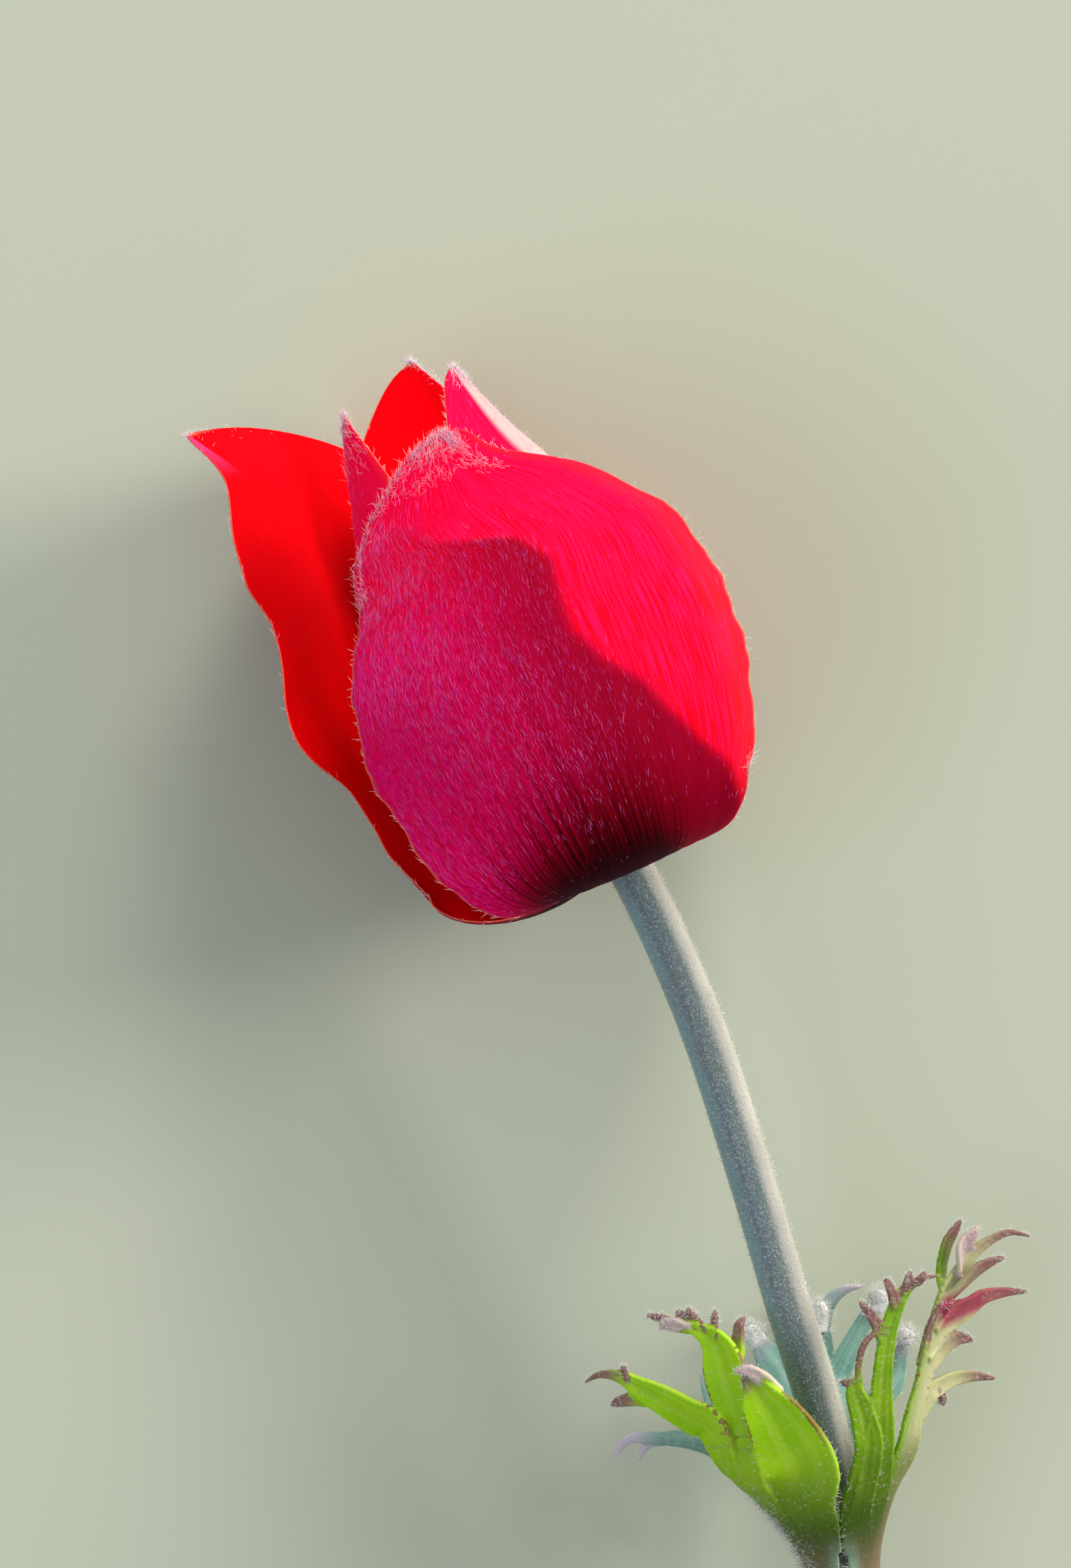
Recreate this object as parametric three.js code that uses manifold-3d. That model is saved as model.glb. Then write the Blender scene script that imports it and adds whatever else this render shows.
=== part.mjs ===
// Crown anemone, half open, picked and lying on a surface.
// Lengths are millimetres. X runs to the right of the flower, Y towards its top, Z up from the surface.
import * as THREE from 'three';
import { mergeVertices } from 'three/addons/utils/BufferGeometryUtils.js';
import Module from 'manifold-3d';

const wasm = await Module();
wasm.setup();

// Driving dimensions
const BLADE = 0.6;
const SEAT_GAP = 0.3;
const STEM_RADIUS = 1.65;
const AXIS_HEIGHT = 16;
const BLOOM_LEAN = THREE.MathUtils.degToRad(24);
const ATTACHMENT = new THREE.Vector3(1.36, 34.29, AXIS_HEIGHT);
const WHORL = new THREE.Vector3(15.6, -51.9, -5.5);
const CUT_END = new THREE.Vector3(21.5, -104, STEM_RADIUS - AXIS_HEIGHT);

const BLOOM = {
  right: new THREE.Vector3(Math.cos(BLOOM_LEAN), Math.sin(BLOOM_LEAN), 0),
  axis: new THREE.Vector3(-Math.sin(BLOOM_LEAN), Math.cos(BLOOM_LEAN), 0),
  front: new THREE.Vector3(0, 0, 1),
  origin: new THREE.Vector3(0, 0, 0),
};

const COLORS = {
  hairy: 0xb01040,
  scarlet: 0xd80a12,
  stem: 0x8d8f7e,
  head: 0x17131f,
  stamens: 0x1d1b33,
  bract: 0x86a318,
};

// A tepal is a blade swept along its midrib. The midrib is given as radius and height in the bloom, the
// blade's half widths to the left and right of it, and bend is the curvature across the blade. Skew moves
// the midrib aside, and a tip above 11 keeps the blade wide for longer before its tip.
const TEPALS = {
  tepal_front: {
    azimuth: 0,
    color: COLORS.hairy,
    rib: [
      [2.05, 0.4], [7.6, -0.5], [12.4, 1.8], [14.6, 7.2], [15, 12.8], [14.2, 18.2], [12.5, 23.2],
      [10.3, 27.4], [9.2, 32.5],
    ],
    left: [
      1.6, 4.8, 8.4, 10.7, 12.1, 12.8, 13.4, 13.8, 13.9, 13.8, 13.1, 12.9, 12.1, 9.9, 8.5, 5.8, 3.2,
    ],
    right: [
      1.6, 3.9, 6.6, 8.9, 10.3, 11.8, 12.8, 13.3, 13.7, 14, 13.8, 13.2, 12.3, 11.8, 9.9, 4.4, 4,
    ],
    bend: [0.02, 0.006, 0.03, 0.06, 0.07, 0.075, 0.075, 0.07, 0.06],
    skew: [0, 0, 0, 0, 0, 0, 0.6, -0.8, -0.1],
    tip: 20,
    wave: 0.35,
  },
  tepal_left: {
    azimuth: -122,
    color: COLORS.scarlet,
    rib: [
      [2.05, 0.4], [6.8, -0.8], [11.8, 0.4], [14.5, 6], [15.3, 12.4], [15.1, 19], [14.6, 25.8],
      [14.2, 32.6], [14.5, 40.2],
    ],
    left: [
      1.6, 3.5, 5.8, 7.8, 9.6, 10.8, 11.6, 12.1, 12.4, 12.4, 12.2, 11.8, 11.6, 12.6, 12.8, 12.7, 11.2,
    ],
    right: [
      1.6, 3.2, 5.2, 8, 10.8, 9.6, 8.4, 5.6, 6.4, 11.2, 11, 9.2, 8, 10.3, 9.5, 3.2, 1.4,
    ],
    bend: [0.02, 0.04, 0.06, 0.06, 0.045, 0.01, 0.02, 0.01, 0],
    skew: [0, 0, 0, 0, 0, 0, 0, -1, 7.2],
    tip: 22,
    wave: 0.5,
  },
  tepal_right: {
    azimuth: 158,
    color: COLORS.hairy,
    rib: [
      [2.05, 0.4], [6.6, 0], [11.6, 1.8], [14.6, 6], [16, 11.4], [16.1, 16.6], [15.2, 21],
      [13.9, 24.6], [13, 27],
    ],
    left: [1.6, 4.8, 7, 8.2, 8.6, 8.2, 7, 5.2, 2.6],
    right: [1.3, 4.2, 5, 5.1, 5.1, 5, 4.8, 4.2, 2.6],
    bend: [0.02, 0.03, 0.05, 0.06, 0.06, 0.06, 0.06, 0.06, 0.06],
    skew: [0, 0, 0, 0, 0, 0, 0, 0, 0],
    wave: 0.3,
  },
  tepal_inner_left: {
    azimuth: -60,
    color: COLORS.hairy,
    rib: [
      [2.05, 1.5], [6, 1.4], [9.6, 3.6], [11, 8.8], [11.1, 14.8], [10.3, 20.8], [8.9, 26.6],
      [7.5, 32], [6.3, 36.6],
    ],
    left: [1.4, 4.2, 6.8, 8.4, 8.6, 7.4, 5, 2.8, 0.9],
    right: [1.4, 4.2, 6.8, 8.4, 8.6, 7.4, 5.4, 3.4, 0.9],
    bend: [0.02, 0.04, 0.07, 0.08, 0.09, 0.1, 0.12, 0.2, 0.3],
    skew: [0, 0, 0, 0, 0, 0, 0, 0, 0],
    wave: 0.2,
  },
  tepal_inner_right: {
    azimuth: 60,
    color: COLORS.hairy,
    rib: [
      [2.05, 1.5], [6, 1.4], [9.6, 3.6], [10.9, 8.8], [10.8, 14.6], [9.5, 20.4], [7.3, 26],
      [5, 31.4], [3.3, 36.7],
    ],
    left: [1.4, 4.4, 7, 8.2, 8.6, 7.8, 6.8, 6.2, 4.4],
    right: [1.4, 4.2, 6.6, 7.8, 8, 6.6, 4, 1.9, 0.9],
    bend: [0.02, 0.04, 0.07, 0.08, 0.09, 0.1, 0.11, 0.12, 0.12],
    skew: [0, 0, 0, 0, 0, 0, 0, 0, 0],
    wave: 0.2,
  },
  tepal_back: {
    azimuth: 180,
    color: COLORS.scarlet,
    rib: [
      [2.05, 1.5], [6.2, 1.4], [9.6, 3.6], [11, 8.8], [11.2, 14.8], [11, 21], [10.4, 27.2],
      [9.4, 33], [8.2, 38.8],
    ],
    left: [1.4, 5, 8, 9.4, 9.4, 8.6, 6.5, 3.6, 1],
    right: [1.4, 5, 8.6, 10.2, 10.6, 10.2, 9.4, 8.9, 5],
    bend: [0.02, 0.03, 0.06, 0.06, 0.06, 0.06, 0.06, 0.06, 0.06],
    skew: [0, -0.2, -0.5, -0.8, -1, -1, -1, -0.7, -0.4],
    wave: 0.3,
  },
};

const TEPAL_ROWS = 24;
const TEPAL_COLUMNS = 10;

// Smooth curve through evenly spaced values, each a number or a point, at s from 0 to 1
function through(values, s) {
  const spans = values.length - 1;
  const x = Math.min(Math.max(s, 0), 1) * spans;
  const i = Math.min(Math.floor(x), spans - 1);
  const t = x - i;
  const before = values[Math.max(i - 1, 0)];
  const after = values[Math.min(i + 2, spans)];
  const blend = (p0, p1, p2, p3) => {
    const a = (p2 - p0) / 2;
    const b = (p3 - p1) / 2;
    return (2 * p1 - 2 * p2 + a + b) * t ** 3 + (3 * p2 - 3 * p1 - 2 * a - b) * t ** 2 + a * t + p1;
  };
  if (typeof values[i] === 'number') {
    return blend(before, values[i], values[i + 1], after);
  }
  return values[i].map((value, k) => blend(before[k], value, values[i + 1][k], after[k]));
}

// Half width factor that rounds off a blade towards its tip, later for a higher tip number
function tipFactor(s, tip = 11) {
  return Math.max((1 - s ** tip) ** 0.65, 0.08);
}

// Middle of a blade, s along it and q across it from -1 to 1, in the frame that it grows from
function bladePoint(blade, frame, s, q) {
  const [radius, height] = through(blade.rib, s);
  const [r0, h0] = through(blade.rib, s - 0.002);
  const [r1, h1] = through(blade.rib, s + 0.002);
  const run = Math.hypot(r1 - r0, h1 - h0);
  const half = through(q < 0 ? blade.left : blade.right, s) * tipFactor(s, blade.tip);
  const x = q * half;
  const edge = Math.abs(q) ** 3 * Math.sin(Math.PI * s);
  const lift = through(blade.bend, s) * x * x / 2 + blade.wave * edge * Math.sin(19 * s + 2 * q);
  const across = x + through(blade.skew, s);
  const r = radius - lift * (h1 - h0) / run;
  const h = height + lift * (r1 - r0) / run;
  const azimuth = THREE.MathUtils.degToRad(blade.azimuth);
  return frame.origin.clone()
    .addScaledVector(frame.right, r * Math.sin(azimuth) + across * Math.cos(azimuth))
    .addScaledVector(frame.axis, h)
    .addScaledVector(frame.front, r * Math.cos(azimuth) - across * Math.sin(azimuth));
}

// The surface presses flat what would hang below it
function rested(point) {
  point.z = Math.max(point.z, BLADE / 2 - AXIS_HEIGHT);
  return point;
}

// Closed blade of even thickness round a middle surface given by a function of s and q
function bladeGeometry(middle, rows, columns) {
  const grid = [];
  for (let i = 0; i <= rows; i += 1) {
    for (let j = 0; j <= columns; j += 1) {
      grid.push(middle(i / rows, 2 * j / columns - 1));
    }
  }
  const at = (i, j) => i * (columns + 1) + j;
  const positions = [];
  for (const side of [1, -1]) {
    for (let i = 0; i <= rows; i += 1) {
      for (let j = 0; j <= columns; j += 1) {
        const along = grid[at(Math.min(i + 1, rows), j)].clone().sub(grid[at(Math.max(i - 1, 0), j)]);
        const across = grid[at(i, Math.min(j + 1, columns))].clone().sub(grid[at(i, Math.max(j - 1, 0))]);
        const normal = across.cross(along).normalize();
        const p = grid[at(i, j)].clone().addScaledVector(normal, side * BLADE / 2);
        positions.push(p.x, p.y, p.z);
      }
    }
  }
  const count = (rows + 1) * (columns + 1);
  const indices = [];
  const quad = (a, b, c, d) => indices.push(a, b, c, a, c, d);
  for (let i = 0; i < rows; i += 1) {
    for (let j = 0; j < columns; j += 1) {
      const [a, b, c, d] = [at(i, j), at(i, j + 1), at(i + 1, j + 1), at(i + 1, j)];
      indices.push(a, b, c, a, c, d);
      indices.push(count + a, count + c, count + b, count + a, count + d, count + c);
    }
  }
  for (let j = 0; j < columns; j += 1) {
    quad(at(0, j), count + at(0, j), count + at(0, j + 1), at(0, j + 1));
    quad(at(rows, j + 1), count + at(rows, j + 1), count + at(rows, j), at(rows, j));
  }
  for (let i = 0; i < rows; i += 1) {
    quad(at(i + 1, 0), count + at(i + 1, 0), count + at(i, 0), at(i, 0));
    quad(at(i, columns), count + at(i, columns), count + at(i + 1, columns), at(i + 1, columns));
  }
  const geometry = new THREE.BufferGeometry();
  geometry.setAttribute('position', new THREE.Float32BufferAttribute(positions, 3));
  geometry.setIndex(indices);
  geometry.computeVertexNormals();
  return geometry;
}

function tepalGeometry(tepal) {
  return bladeGeometry((s, q) => rested(bladePoint(tepal, BLOOM, s, q)), TEPAL_ROWS, TEPAL_COLUMNS);
}

// Closed rod along points, with a radius at each, round or oval
function rodGeometry(points, radii, sides) {
  const positions = [];
  const tangent = (i) => points[Math.min(i + 1, points.length - 1)].clone()
    .sub(points[Math.max(i - 1, 0)]).normalize();
  const first = tangent(0);
  let side = new THREE.Vector3(1, 0, 0).cross(first);
  if (side.length() < 0.1) {
    side = new THREE.Vector3(0, 1, 0).cross(first);
  }
  points.forEach((point, i) => {
    const along = tangent(i);
    side.addScaledVector(along, -side.dot(along)).normalize();
    const other = along.clone().cross(side);
    for (let k = 0; k < sides; k += 1) {
      const turn = 2 * Math.PI * k / sides;
      const p = point.clone()
        .addScaledVector(side, radii[i] * Math.cos(turn))
        .addScaledVector(other, radii[i] * Math.sin(turn));
      positions.push(p.x, p.y, p.z);
    }
  });
  const indices = [];
  for (let i = 0; i < points.length - 1; i += 1) {
    for (let k = 0; k < sides; k += 1) {
      const a = i * sides + k;
      const b = i * sides + (k + 1) % sides;
      indices.push(a, b, b + sides, a, b + sides, a + sides);
    }
  }
  const last = (points.length - 1) * sides;
  for (let k = 1; k < sides - 1; k += 1) {
    indices.push(0, k + 1, k);
    indices.push(last, last + k, last + k + 1);
  }
  const geometry = new THREE.BufferGeometry();
  geometry.setAttribute('position', new THREE.Float32BufferAttribute(positions, 3));
  geometry.setIndex(indices);
  return geometry;
}

function toSolid(loose) {
  loose.deleteAttribute('uv');
  loose.deleteAttribute('normal');
  const geometry = mergeVertices(loose, 1e-4);
  const mesh = new wasm.Mesh({
    numProp: 3,
    vertProperties: Float32Array.from(geometry.getAttribute('position').array),
    triVerts: Uint32Array.from(geometry.getIndex().array),
  });
  return new wasm.Manifold(mesh);
}

function toGeometry(solid) {
  const mesh = solid.getMesh();
  const geometry = new THREE.BufferGeometry();
  geometry.setAttribute('position', new THREE.Float32BufferAttribute(mesh.vertProperties, 3));
  geometry.setIndex(Array.from(mesh.triVerts));
  geometry.computeVertexNormals();
  return geometry;
}

// One solid of all the geometries, without the specks of space that a join can close in
function joined(geometries) {
  const whole = geometries.map(toSolid).reduce((sum, solid) => sum.add(solid));
  const bodies = whole.decompose().filter((solid) => solid.volume() > 0.001);
  return toGeometry(bodies.reduce((sum, solid) => sum.add(solid)));
}

function inBloom(across, height, front) {
  return BLOOM.origin.clone()
    .addScaledVector(BLOOM.right, across)
    .addScaledVector(BLOOM.axis, height)
    .addScaledVector(BLOOM.front, front);
}

// Stem from its cut end, past the whorl of bracts, to the receptacle inside the bloom
const STEM_POINTS = [
  CUT_END,
  new THREE.Vector3(18.7, -88, -13.4),
  new THREE.Vector3(16.7, -70, -9.8),
  WHORL,
  new THREE.Vector3(14.6, -42.4, -4.2),
  new THREE.Vector3(11.2, -30.7, -2.6),
  new THREE.Vector3(8.4, -21.2, -1.5),
  new THREE.Vector3(5.2, -11.5, -0.6),
  new THREE.Vector3(2.1, -4.2, -0.1),
  inBloom(0, 0, 0),
];
const RECEPTACLE_TOP = 2.5;
const RECEPTACLE_TIP_RADIUS = 1.25;
const NODE_RADIUS = 2.5;

function stemGeometry() {
  const curve = new THREE.CatmullRomCurve3(STEM_POINTS, false, 'centripetal');
  const steps = 42;
  const nodeCenter = WHORL.clone().addScaledVector(STEM_POINTS[4].clone().sub(WHORL).normalize(), -1.6);
  const points = [];
  const radii = [];
  for (let i = 0; i <= steps; i += 1) {
    const point = curve.getPointAt(i / steps);
    const fromNode = point.distanceTo(nodeCenter) / 1.4;
    points.push(point);
    radii.push(STEM_RADIUS + (NODE_RADIUS - STEM_RADIUS) * Math.exp(-(fromNode ** 4)));
  }
  points.push(inBloom(0, RECEPTACLE_TOP - 0.5, 0), inBloom(0, RECEPTACLE_TOP, 0));
  radii.push(STEM_RADIUS, RECEPTACLE_TIP_RADIUS);
  return rodGeometry(points, radii, 10);
}

// Whorl of three bracts. Each has a palm that stands round the stem like the side of a cup, and lobes cut
// deep into it, with teeth. A lobe is given by its middle line from the whorl, to the right, up and to the
// front, and by the width of its blade there.
const WHORL_UP = STEM_POINTS[4].clone().sub(WHORL).normalize();
const WHORL_FRONT = new THREE.Vector3(0, 0, 1).addScaledVector(WHORL_UP, -WHORL_UP.z).normalize();
const WHORL_FRAME = {
  right: WHORL_UP.clone().cross(WHORL_FRONT),
  axis: WHORL_UP,
  front: WHORL_FRONT,
  origin: WHORL,
};
const PALM_ROWS = 7;
const PALM_COLUMNS = 6;

const BRACTS = {
  bract_left: {
    facing: 1,
    palm: {
      azimuth: -60,
      rib: [[2.35, 0.35], [2.7, 2.4], [3.9, 4.8], [5.5, 7], [7.1, 9], [8.4, 10.8]],
      left: [1.7, 2, 2.7, 3.4, 3.8, 3.6],
      right: [1.8, 2.3, 3.3, 4.5, 5, 4.4],
      bend: [0.42, 0.4, 0.3, 0.22, 0.15, 0.1],
      skew: [0, 0, 0, 0, 0, 0],
      wave: 0,
    },
    lobes: [
      {
        root: [0.8, -0.45],
        line: [
          [-9.1, 11.3, 3.4], [-11.9, 12.8, 3.6], [-14.7, 14.2, 3.4], [-17, 14.9, 3],
          [-18.5, 14.5, 2.4],
        ],
        width: [1.6, 2.6, 3.1, 2.5, 1.9, 0.9, 0.6],
      },
      {
        line: [[-15.3, 14.2, 3.4], [-15.8, 14.8, 3.6], [-15.8, 15.6, 3.8]],
        width: [0.9, 0.8, 0.6],
      },
      {
        line: [[-13.9, 13.5, 3.2], [-15.6, 13.4, 3], [-16.6, 12.9, 2.4]],
        width: [1, 0.8, 0.6],
      },
      {
        root: [0.8, 0.1],
        line: [
          [-6.9, 11.5, 4.8], [-8.1, 14.9, 5.4], [-8.7, 17, 5.4], [-9.6, 18.1, 5.2],
          [-11.2, 18.7, 4.6], [-13.2, 18.5, 4],
        ],
        width: [2, 3, 3.6, 3.3, 3, 2, 1.2, 0.7],
      },
      {
        line: [[-9.4, 17.9, 5.2], [-9.4, 18.7, 5.3], [-9.4, 19.5, 5.2]],
        width: [0.8, 0.7, 0.6],
      },
      {
        line: [[-7.8, 16.3, 5.4], [-7.6, 17.8, 5.5], [-7.3, 19, 5.2]],
        width: [1.2, 0.9, 0.7],
      },
      {
        line: [[-10.3, 18.3, 4.9], [-10.9, 19.1, 4.9], [-11.4, 19.6, 4.6]],
        width: [0.8, 0.7, 0.6],
      },
      {
        line: [[-11.7, 18.8, 4.6], [-12.9, 19.2, 4.4], [-14.1, 19.3, 4]],
        width: [0.8, 0.7, 0.6],
      },
      {
        root: [0.5, 0.6],
        line: [[-3.4, 9.1, 5.8], [-5, 12, 7.4], [-6, 13.9, 8], [-7.2, 15.2, 8.4], [-8.1, 15.2, 8.8]],
        width: [1.8, 3, 4.8, 4.2, 3, 1.6, 0.7],
      },
      {
        line: [[-6, 14, 8.1], [-6, 13.6, 8.9], [-5.9, 12.8, 9]],
        width: [0.7, 0.6, 0.6],
      },
    ],
  },
  bract_right: {
    facing: 1,
    palm: {
      azimuth: 60,
      rib: [[2.35, 0.35], [2.6, 2.4], [3.3, 4.8], [4.3, 7.2], [5.3, 9.6], [6, 11.4]],
      left: [1.8, 2.2, 2.95, 3.7, 3.8, 3.3],
      right: [1.7, 1.9, 2.4, 2.8, 2.9, 2.6],
      bend: [0.42, 0.4, 0.34, 0.26, 0.2, 0.16],
      skew: [0, 0, 0, 0, 0, 0],
      wave: 0,
    },
    lobes: [
      {
        root: [0.55, -0.55],
        line: [
          [1.9, 10.1, 5.4], [2.1, 13.9, 6.6], [2.4, 17, 6.6], [2.9, 19.8, 6.2], [4, 21.3, 5.8],
          [6.3, 22, 5.2],
        ],
        width: [1.6, 2.4, 2.8, 2.3, 1.5, 1.2, 0.9, 0.65],
      },
      {
        line: [[1.5, 12.5, 6.4], [0.9, 14.3, 6.8], [0.1, 14.7, 6.9], [-0.5, 14.5, 6.8]],
        width: [1.6, 1.5, 1, 0.7],
      },
      {
        line: [[1.9, 13.7, 6.8], [1, 15.6, 7.3], [1.2, 17.2, 7.4], [2.2, 18, 7.2]],
        width: [1, 0.7, 0.65, 0.6],
      },
      {
        line: [[2.3, 17.8, 6.6], [1.6, 19.2, 6.8], [0.8, 20.1, 6.6]],
        width: [0.9, 0.7, 0.6],
      },
      {
        line: [[3.1, 20.2, 6.1], [3.1, 21.1, 6.2], [2.7, 21.8, 6]],
        width: [0.8, 0.7, 0.6],
      },
      {
        line: [[4.1, 21.1, 5.7], [4.3, 20.3, 5], [3.9, 19.5, 4.8]],
        width: [0.7, 0.65, 0.6],
      },
      {
        root: [0.65, 0.05],
        line: [
          [4, 10.6, 3.6], [4.8, 13.9, 3.4], [5.7, 17.3, 3], [6.5, 20.2, 2.6], [7.1, 22.3, 2.4],
          [8.4, 23.8, 2], [10.6, 24.9, 1.6], [12.9, 24.7, 1],
        ],
        width: [1.8, 2.4, 2.5, 2, 1.6, 1.5, 1.3, 1.1, 0.9, 0.65],
      },
      {
        line: [[6.4, 20.2, 2.4], [6.6, 22.1, 1.8], [7, 24.1, 1.6], [7.9, 25.8, 1.4]],
        width: [1, 0.9, 0.8, 0.6],
      },
      {
        line: [[7.6, 22.9, 2.3], [8.4, 24.4, 2.8], [9.1, 25.6, 2.8]],
        width: [1, 0.8, 0.65],
      },
      {
        line: [[6.6, 20.4, 2.8], [8, 21.9, 3.2], [9.4, 22.8, 2.9], [11, 23.2, 2.4]],
        width: [1, 0.8, 0.8, 0.65],
      },
      {
        line: [[6.1, 18.7, 2.7], [8, 19.4, 1.8], [9.6, 20.7, 1.4], [11.1, 20.8, 1], [12.7, 20.7, 0.4]],
        width: [1.4, 1.3, 1.1, 0.8, 0.65],
      },
      {
        line: [[5.6, 16.3, 3], [6.8, 17.2, 2.2], [7.6, 17.8, 1.8], [8.8, 17.5, 1.4]],
        width: [1.2, 1, 0.8, 0.65],
      },
      {
        root: [0.85, 0.6],
        line: [[5.6, 13.9, 1.8], [7.1, 14.9, 1], [8.9, 15.2, 0.8], [10.3, 14.7, 0.4]],
        width: [1.4, 1.6, 1.4, 1.1, 0.9, 0.65],
      },
      {
        line: [[5.9, 14.3, 1.5], [6.6, 13.6, 0.9], [6.9, 13.1, 0.4]],
        width: [0.8, 0.7, 0.6],
      },
    ],
  },
  bract_back: {
    facing: -1,
    palm: {
      azimuth: 180,
      rib: [[2.35, 0.35], [2.7, 2.4], [3.6, 4.8], [4.9, 7], [6, 9], [6.9, 10.8]],
      left: [1.6, 2.1, 3, 4, 4.4, 4.2],
      right: [1.6, 2, 3.2, 4.8, 5.6, 5.2],
      bend: [0.4, 0.35, 0.25, 0.14, 0.1, 0.08],
      skew: [0, 0, 0, 0, 0, 0],
      wave: 0,
    },
    lobes: [
      {
        root: [0.9, -0.15],
        line: [[-0.9, 13.9, -6.4], [-0.2, 16.6, -6.8], [0.9, 18.7, -6.8], [2.1, 20.4, -6.4]],
        width: [2.4, 2.4, 2, 1.6, 1.3, 1.2],
      },
      {
        root: [0.95, 0.1],
        line: [[-1.7, 16.3, -7.6], [-1.8, 19, -7.8], [-0.9, 20.7, -7.6], [0.9, 21.5, -7]],
        width: [2, 2, 1.6, 1.5, 0.9, 0.65],
      },
      {
        root: [0.85, -0.65],
        line: [[3.3, 13, -5.8], [3.8, 15.8, -6], [4.2, 17.7, -5.8]],
        width: [2.4, 2.4, 2, 1.5, 1.2],
      },
      {
        root: [0.9, 0.45],
        line: [[-4.3, 13.4, -7.2], [-5.7, 16.6, -8.2], [-6.6, 18.5, -8.4]],
        width: [2.4, 2.6, 2.4, 2.2, 1.6],
      },
      {
        root: [0.9, 0.75],
        line: [[-8.2, 11.8, -5.6], [-9.7, 13.9, -6], [-10, 15.4, -6]],
        width: [2, 2, 1.8, 1.4, 1],
      },
      {
        root: [0.75, 0.8],
        line: [
          [-7.4, 8.6, -4.8], [-10.3, 10, -5.4], [-12.4, 10.4, -6], [-14.2, 10, -6.4],
          [-14.7, 9.2, -6.6],
        ],
        width: [2, 2.2, 2, 1.6, 1.3, 0.9, 0.65],
      },
      {
        line: [[-12.7, 10.4, -6], [-15.1, 10.5, -6.4], [-16.2, 9.4, -6.6]],
        width: [0.9, 0.8, 0.65],
      },
    ],
  },
};

// Blade along a lobe's middle line. It starts as part of the cup and turns its face to the front.
function lobeGeometry(lobe, palm, facing) {
  const offset = (s) => bladePoint(palm, WHORL_FRAME, s, lobe.root[1]).sub(WHORL).toArray();
  const roots = lobe.root ? [offset(lobe.root[0] - 0.25), offset(lobe.root[0])] : [];
  const line = [...roots, ...lobe.line];
  const point = (s) => WHORL.clone().add(new THREE.Vector3(...through(line, s)));
  const middle = (s, q) => {
    const here = point(s);
    const along = point(s + 0.02).sub(point(s - 0.02)).normalize();
    const radial = here.clone().sub(WHORL);
    radial.addScaledVector(WHORL_UP, -radial.dot(WHORL_UP)).normalize();
    const face = radial.multiplyScalar(1 - 0.7 * s).add(new THREE.Vector3(0, 0, facing * (0.3 + 0.7 * s)));
    const side = along.cross(face).normalize();
    const fold = 0.12 * Math.abs(q) * through(lobe.width, s);
    return here.addScaledVector(side, q * through(lobe.width, s) / 2).addScaledVector(face.normalize(), fold);
  };
  return bladeGeometry(middle, Math.max(4, line.length + 1), 2);
}

function bractGeometry(bract) {
  const palm = bladeGeometry((s, q) => bladePoint(bract.palm, WHORL_FRAME, s, q), PALM_ROWS, PALM_COLUMNS);
  return joined([palm, ...bract.lobes.map((lobe) => lobeGeometry(lobe, bract.palm, bract.facing))]);
}

// Dark dome of carpels on the receptacle, each a small bump
const HEAD_BOTTOM = RECEPTACLE_TOP + SEAT_GAP;
const HEAD_HEIGHT = 6.2;
const HEAD_RADIUS = 3;

function carpelHeadGeometry() {
  const rings = 14;
  const sides = 22;
  const positions = [];
  const place = (r, h, turn) => {
    const p = inBloom(r * Math.sin(turn), h, r * Math.cos(turn));
    positions.push(p.x, p.y, p.z);
  };
  place(0, HEAD_BOTTOM, 0);
  for (let i = 0; i < rings; i += 1) {
    const rise = (i + 0.5) / rings;
    const swell = Math.sin(Math.PI * Math.min(rise * 0.5 + 0.2, 1)) * Math.sqrt(1 - rise ** 4);
    const neck = i === 0 ? 0.38 : 1;
    for (let k = 0; k < sides; k += 1) {
      const turn = 2 * Math.PI * (k + 0.5 * (i % 2)) / sides;
      const bump = 1 + (i === 0 ? 0 : 0.06 * ((k + i) % 2 ? 1 : -1));
      place(HEAD_RADIUS * swell * bump * neck, HEAD_BOTTOM + (i === 0 ? 0 : rise * HEAD_HEIGHT), turn);
    }
  }
  place(0, HEAD_BOTTOM + HEAD_HEIGHT, 0);
  const indices = [];
  const top = rings * sides + 1;
  for (let k = 0; k < sides; k += 1) {
    const next = (k + 1) % sides;
    indices.push(0, 1 + next, 1 + k);
    indices.push(top, 1 + (rings - 1) * sides + k, 1 + (rings - 1) * sides + next);
    for (let i = 0; i < rings - 1; i += 1) {
      const a = 1 + i * sides + k;
      const b = 1 + i * sides + next;
      indices.push(a, b, b + sides, a, b + sides, a + sides);
    }
  }
  const geometry = new THREE.BufferGeometry();
  geometry.setAttribute('position', new THREE.Float32BufferAttribute(positions, 3));
  geometry.setIndex(indices);
  return geometry;
}

// Ring of stamens: a collar round the receptacle, and a leaning filament with its anther at each place
const STAMENS = 30;
const COLLAR_BOTTOM = 2.15;

function collarGeometry() {
  const inner = STEM_RADIUS + SEAT_GAP;
  const profile = [[inner, 0], [inner + 1.05, 0], [inner + 1.05, 0.45], [inner + 0.5, 0.8], [inner, 0.8]];
  const points = [...profile, profile[0]].map(([r, h]) => new THREE.Vector2(r, h));
  const lathe = new THREE.LatheGeometry(points, 24);
  const place = new THREE.Matrix4().makeBasis(BLOOM.right, BLOOM.axis, BLOOM.front);
  place.setPosition(inBloom(0, COLLAR_BOTTOM, 0));
  return lathe.applyMatrix4(place);
}

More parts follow.
